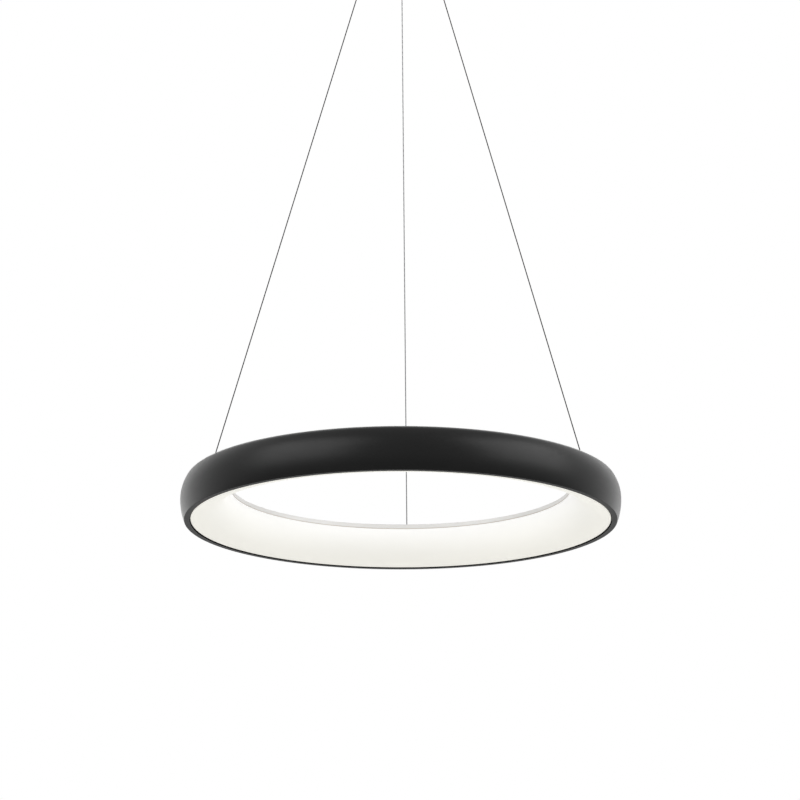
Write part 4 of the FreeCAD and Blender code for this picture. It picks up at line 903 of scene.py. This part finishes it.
class PENDANT_OT_stage(bpy.types.Operator):
    """Camera at the picture's angle, a pale floor, soft lamps and a white background"""
    bl_idname = "pendant.stage"
    bl_label = "Stage"

    def execute(self, context):
        s, scene = context.scene.pendant_stage, context.scene
        camera = bpy.data.objects.new("camera", bpy.data.cameras.new("camera"))
        camera.data.lens = s.focal_length
        camera.data.sensor_width = 36.0
        camera.location = s.camera_place
        camera.rotation_euler = (math.pi / 2 + s.camera_pitch, 0.0, s.camera_turn)
        camera.data.clip_start, camera.data.clip_end = 0.05, 100.0
        scene.collection.objects.link(camera)
        scene.camera = camera
        self.floor(s)
        ring = np.array([0.0, 0.0, (shell_low[2] + shell_high[2]) / 2])
        for name, power, spot, size in (("key", s.key_power, (-2.9, -2.45, 0.85), (3.8, 3.2)),
                                        ("fill", s.fill_power, (3.3, -1.3, 0.85), (3.4, 3.2))):
            lamp = bpy.data.objects.new(name, bpy.data.lights.new(name, "AREA"))
            lamp.data.shape = "RECTANGLE"
            lamp.data.energy = power
            lamp.data.size, lamp.data.size_y = size
            lamp.location = spot
            way = Vector(ring - np.array(spot))
            lamp.rotation_euler = way.to_track_quat("-Z", "Y").to_euler()
            scene.collection.objects.link(lamp)
        self.world(scene, s.ambient)
        scene.view_settings.view_transform = "Standard"
        return {"FINISHED"}

    def floor(self, s):
        """Pale disc that keeps shadows. White is added for the rays that show the background, and from
        below it is clear."""
        disc = revolved(np.array([[s.floor_radius, s.floor_level]]), 64)[0]
        mesh = bpy.data.meshes.new("floor")
        mesh.from_pydata(disc.tolist(), [], [list(range(len(disc)))])
        floor = bpy.data.objects.new("floor", mesh)
        bpy.context.scene.collection.objects.link(floor)
        finish = Finish("pale_floor", (0.95, 0.95, 0.94), 0.8)
        finish.feed("Roughness", finish.noise(3.0) * 0.1 + 0.75)
        camera, glossy, through = (finish.node("LightPath", output="Is %s Ray" % kind)
                                   for kind in ("Camera", "Glossy", "Transmission"))
        white = finish.node("Emission", {}, {"Color": (1.0, 1.0, 1.0, 1.0), "Strength": 1.0})
        pale = finish.node("MixShader", {}, {0: (camera + glossy + through).limited() * s.floor_glow,
                                             1: Signal(finish, finish.shader.outputs[0]), 2: white})
        under = finish.node("NewGeometry", output="Backfacing")
        clear = finish.node("BsdfTransparent")
        shown = finish.node("MixShader", {}, {0: under, 1: pale, 2: clear})
        finish.tree.links.new(shown.socket, finish.output.inputs["Surface"])
        mesh.materials.append(finish.material)

    def world(self, scene, ambient):
        """White to the camera, to glossy and to transmitted rays; plain soft light to the rest."""
        world = bpy.data.worlds.new("studio")
        world.use_nodes = True
        tree = world.node_tree
        tree.nodes.clear()
        output, back = tree.nodes.new("ShaderNodeOutputWorld"), tree.nodes.new("ShaderNodeBackground")
        path, level = tree.nodes.new("ShaderNodeLightPath"), tree.nodes.new("ShaderNodeMix")
        shown = path.outputs["Is Camera Ray"]
        for kind in ("Is Glossy Ray", "Is Transmission Ray"):
            either = tree.nodes.new("ShaderNodeMath")
            either.operation = "MAXIMUM"
            tree.links.new(shown, either.inputs[0])
            tree.links.new(path.outputs[kind], either.inputs[1])
            shown = either.outputs[0]
        tree.links.new(shown, level.inputs["Factor"])
        level.inputs[2].default_value, level.inputs[3].default_value = ambient, 1.0
        tree.links.new(level.outputs[0], back.inputs["Strength"])
        back.inputs["Color"].default_value = (1.0, 1.0, 1.0, 1.0)
        tree.links.new(back.outputs[0], output.inputs["Surface"])
        scene.world = world


class PENDANT_PT_panel(bpy.types.Panel):
    """Sizes, colours and steps of the pendant"""
    bl_idname = "PENDANT_PT_panel"
    bl_label = "Pendant"
    bl_space_type = "VIEW_3D"
    bl_region_type = "UI"
    bl_category = "Pendant"

    def draw(self, context):
        for name, group in GROUPS.items():
            box = self.layout.box()
            for field in group.__annotations__:
                box.prop(getattr(context.scene, name), field)
        for step in STEPS:
            self.layout.operator(step.bl_idname)


GROUPS = {"pendant_ring": RingSizes, "pendant_wires": WireSizes, "pendant_looks": PendantLooks,
          "pendant_stage": StageSettings}
STEPS = (PENDANT_OT_stage, PENDANT_OT_wires, PENDANT_OT_housing, PENDANT_OT_top_panel, PENDANT_OT_opal,
         PENDANT_OT_lip, PENDANT_OT_panel_screws, PENDANT_OT_knobs, PENDANT_OT_dress,
         PENDANT_OT_springs)


def register():
    for made in (*GROUPS.values(), *STEPS, PENDANT_PT_panel):
        bpy.utils.register_class(made)
    for name, group in GROUPS.items():
        setattr(bpy.types.Scene, name, bpy.props.PointerProperty(type=group))


def unregister():
    for name in GROUPS:
        delattr(bpy.types.Scene, name)
    for made in reversed((*GROUPS.values(), *STEPS, PENDANT_PT_panel)):
        bpy.utils.unregister_class(made)


def main():
    """Register the classes, make the finishes and run every step in order."""
    register()
    finishes.update(make_finishes(bpy.context.scene.pendant_looks))
    for step in STEPS:
        group, name = step.bl_idname.split(".")
        getattr(getattr(bpy.ops, group), name)()


finishes = {}

if __name__ == "__main__":
    main()
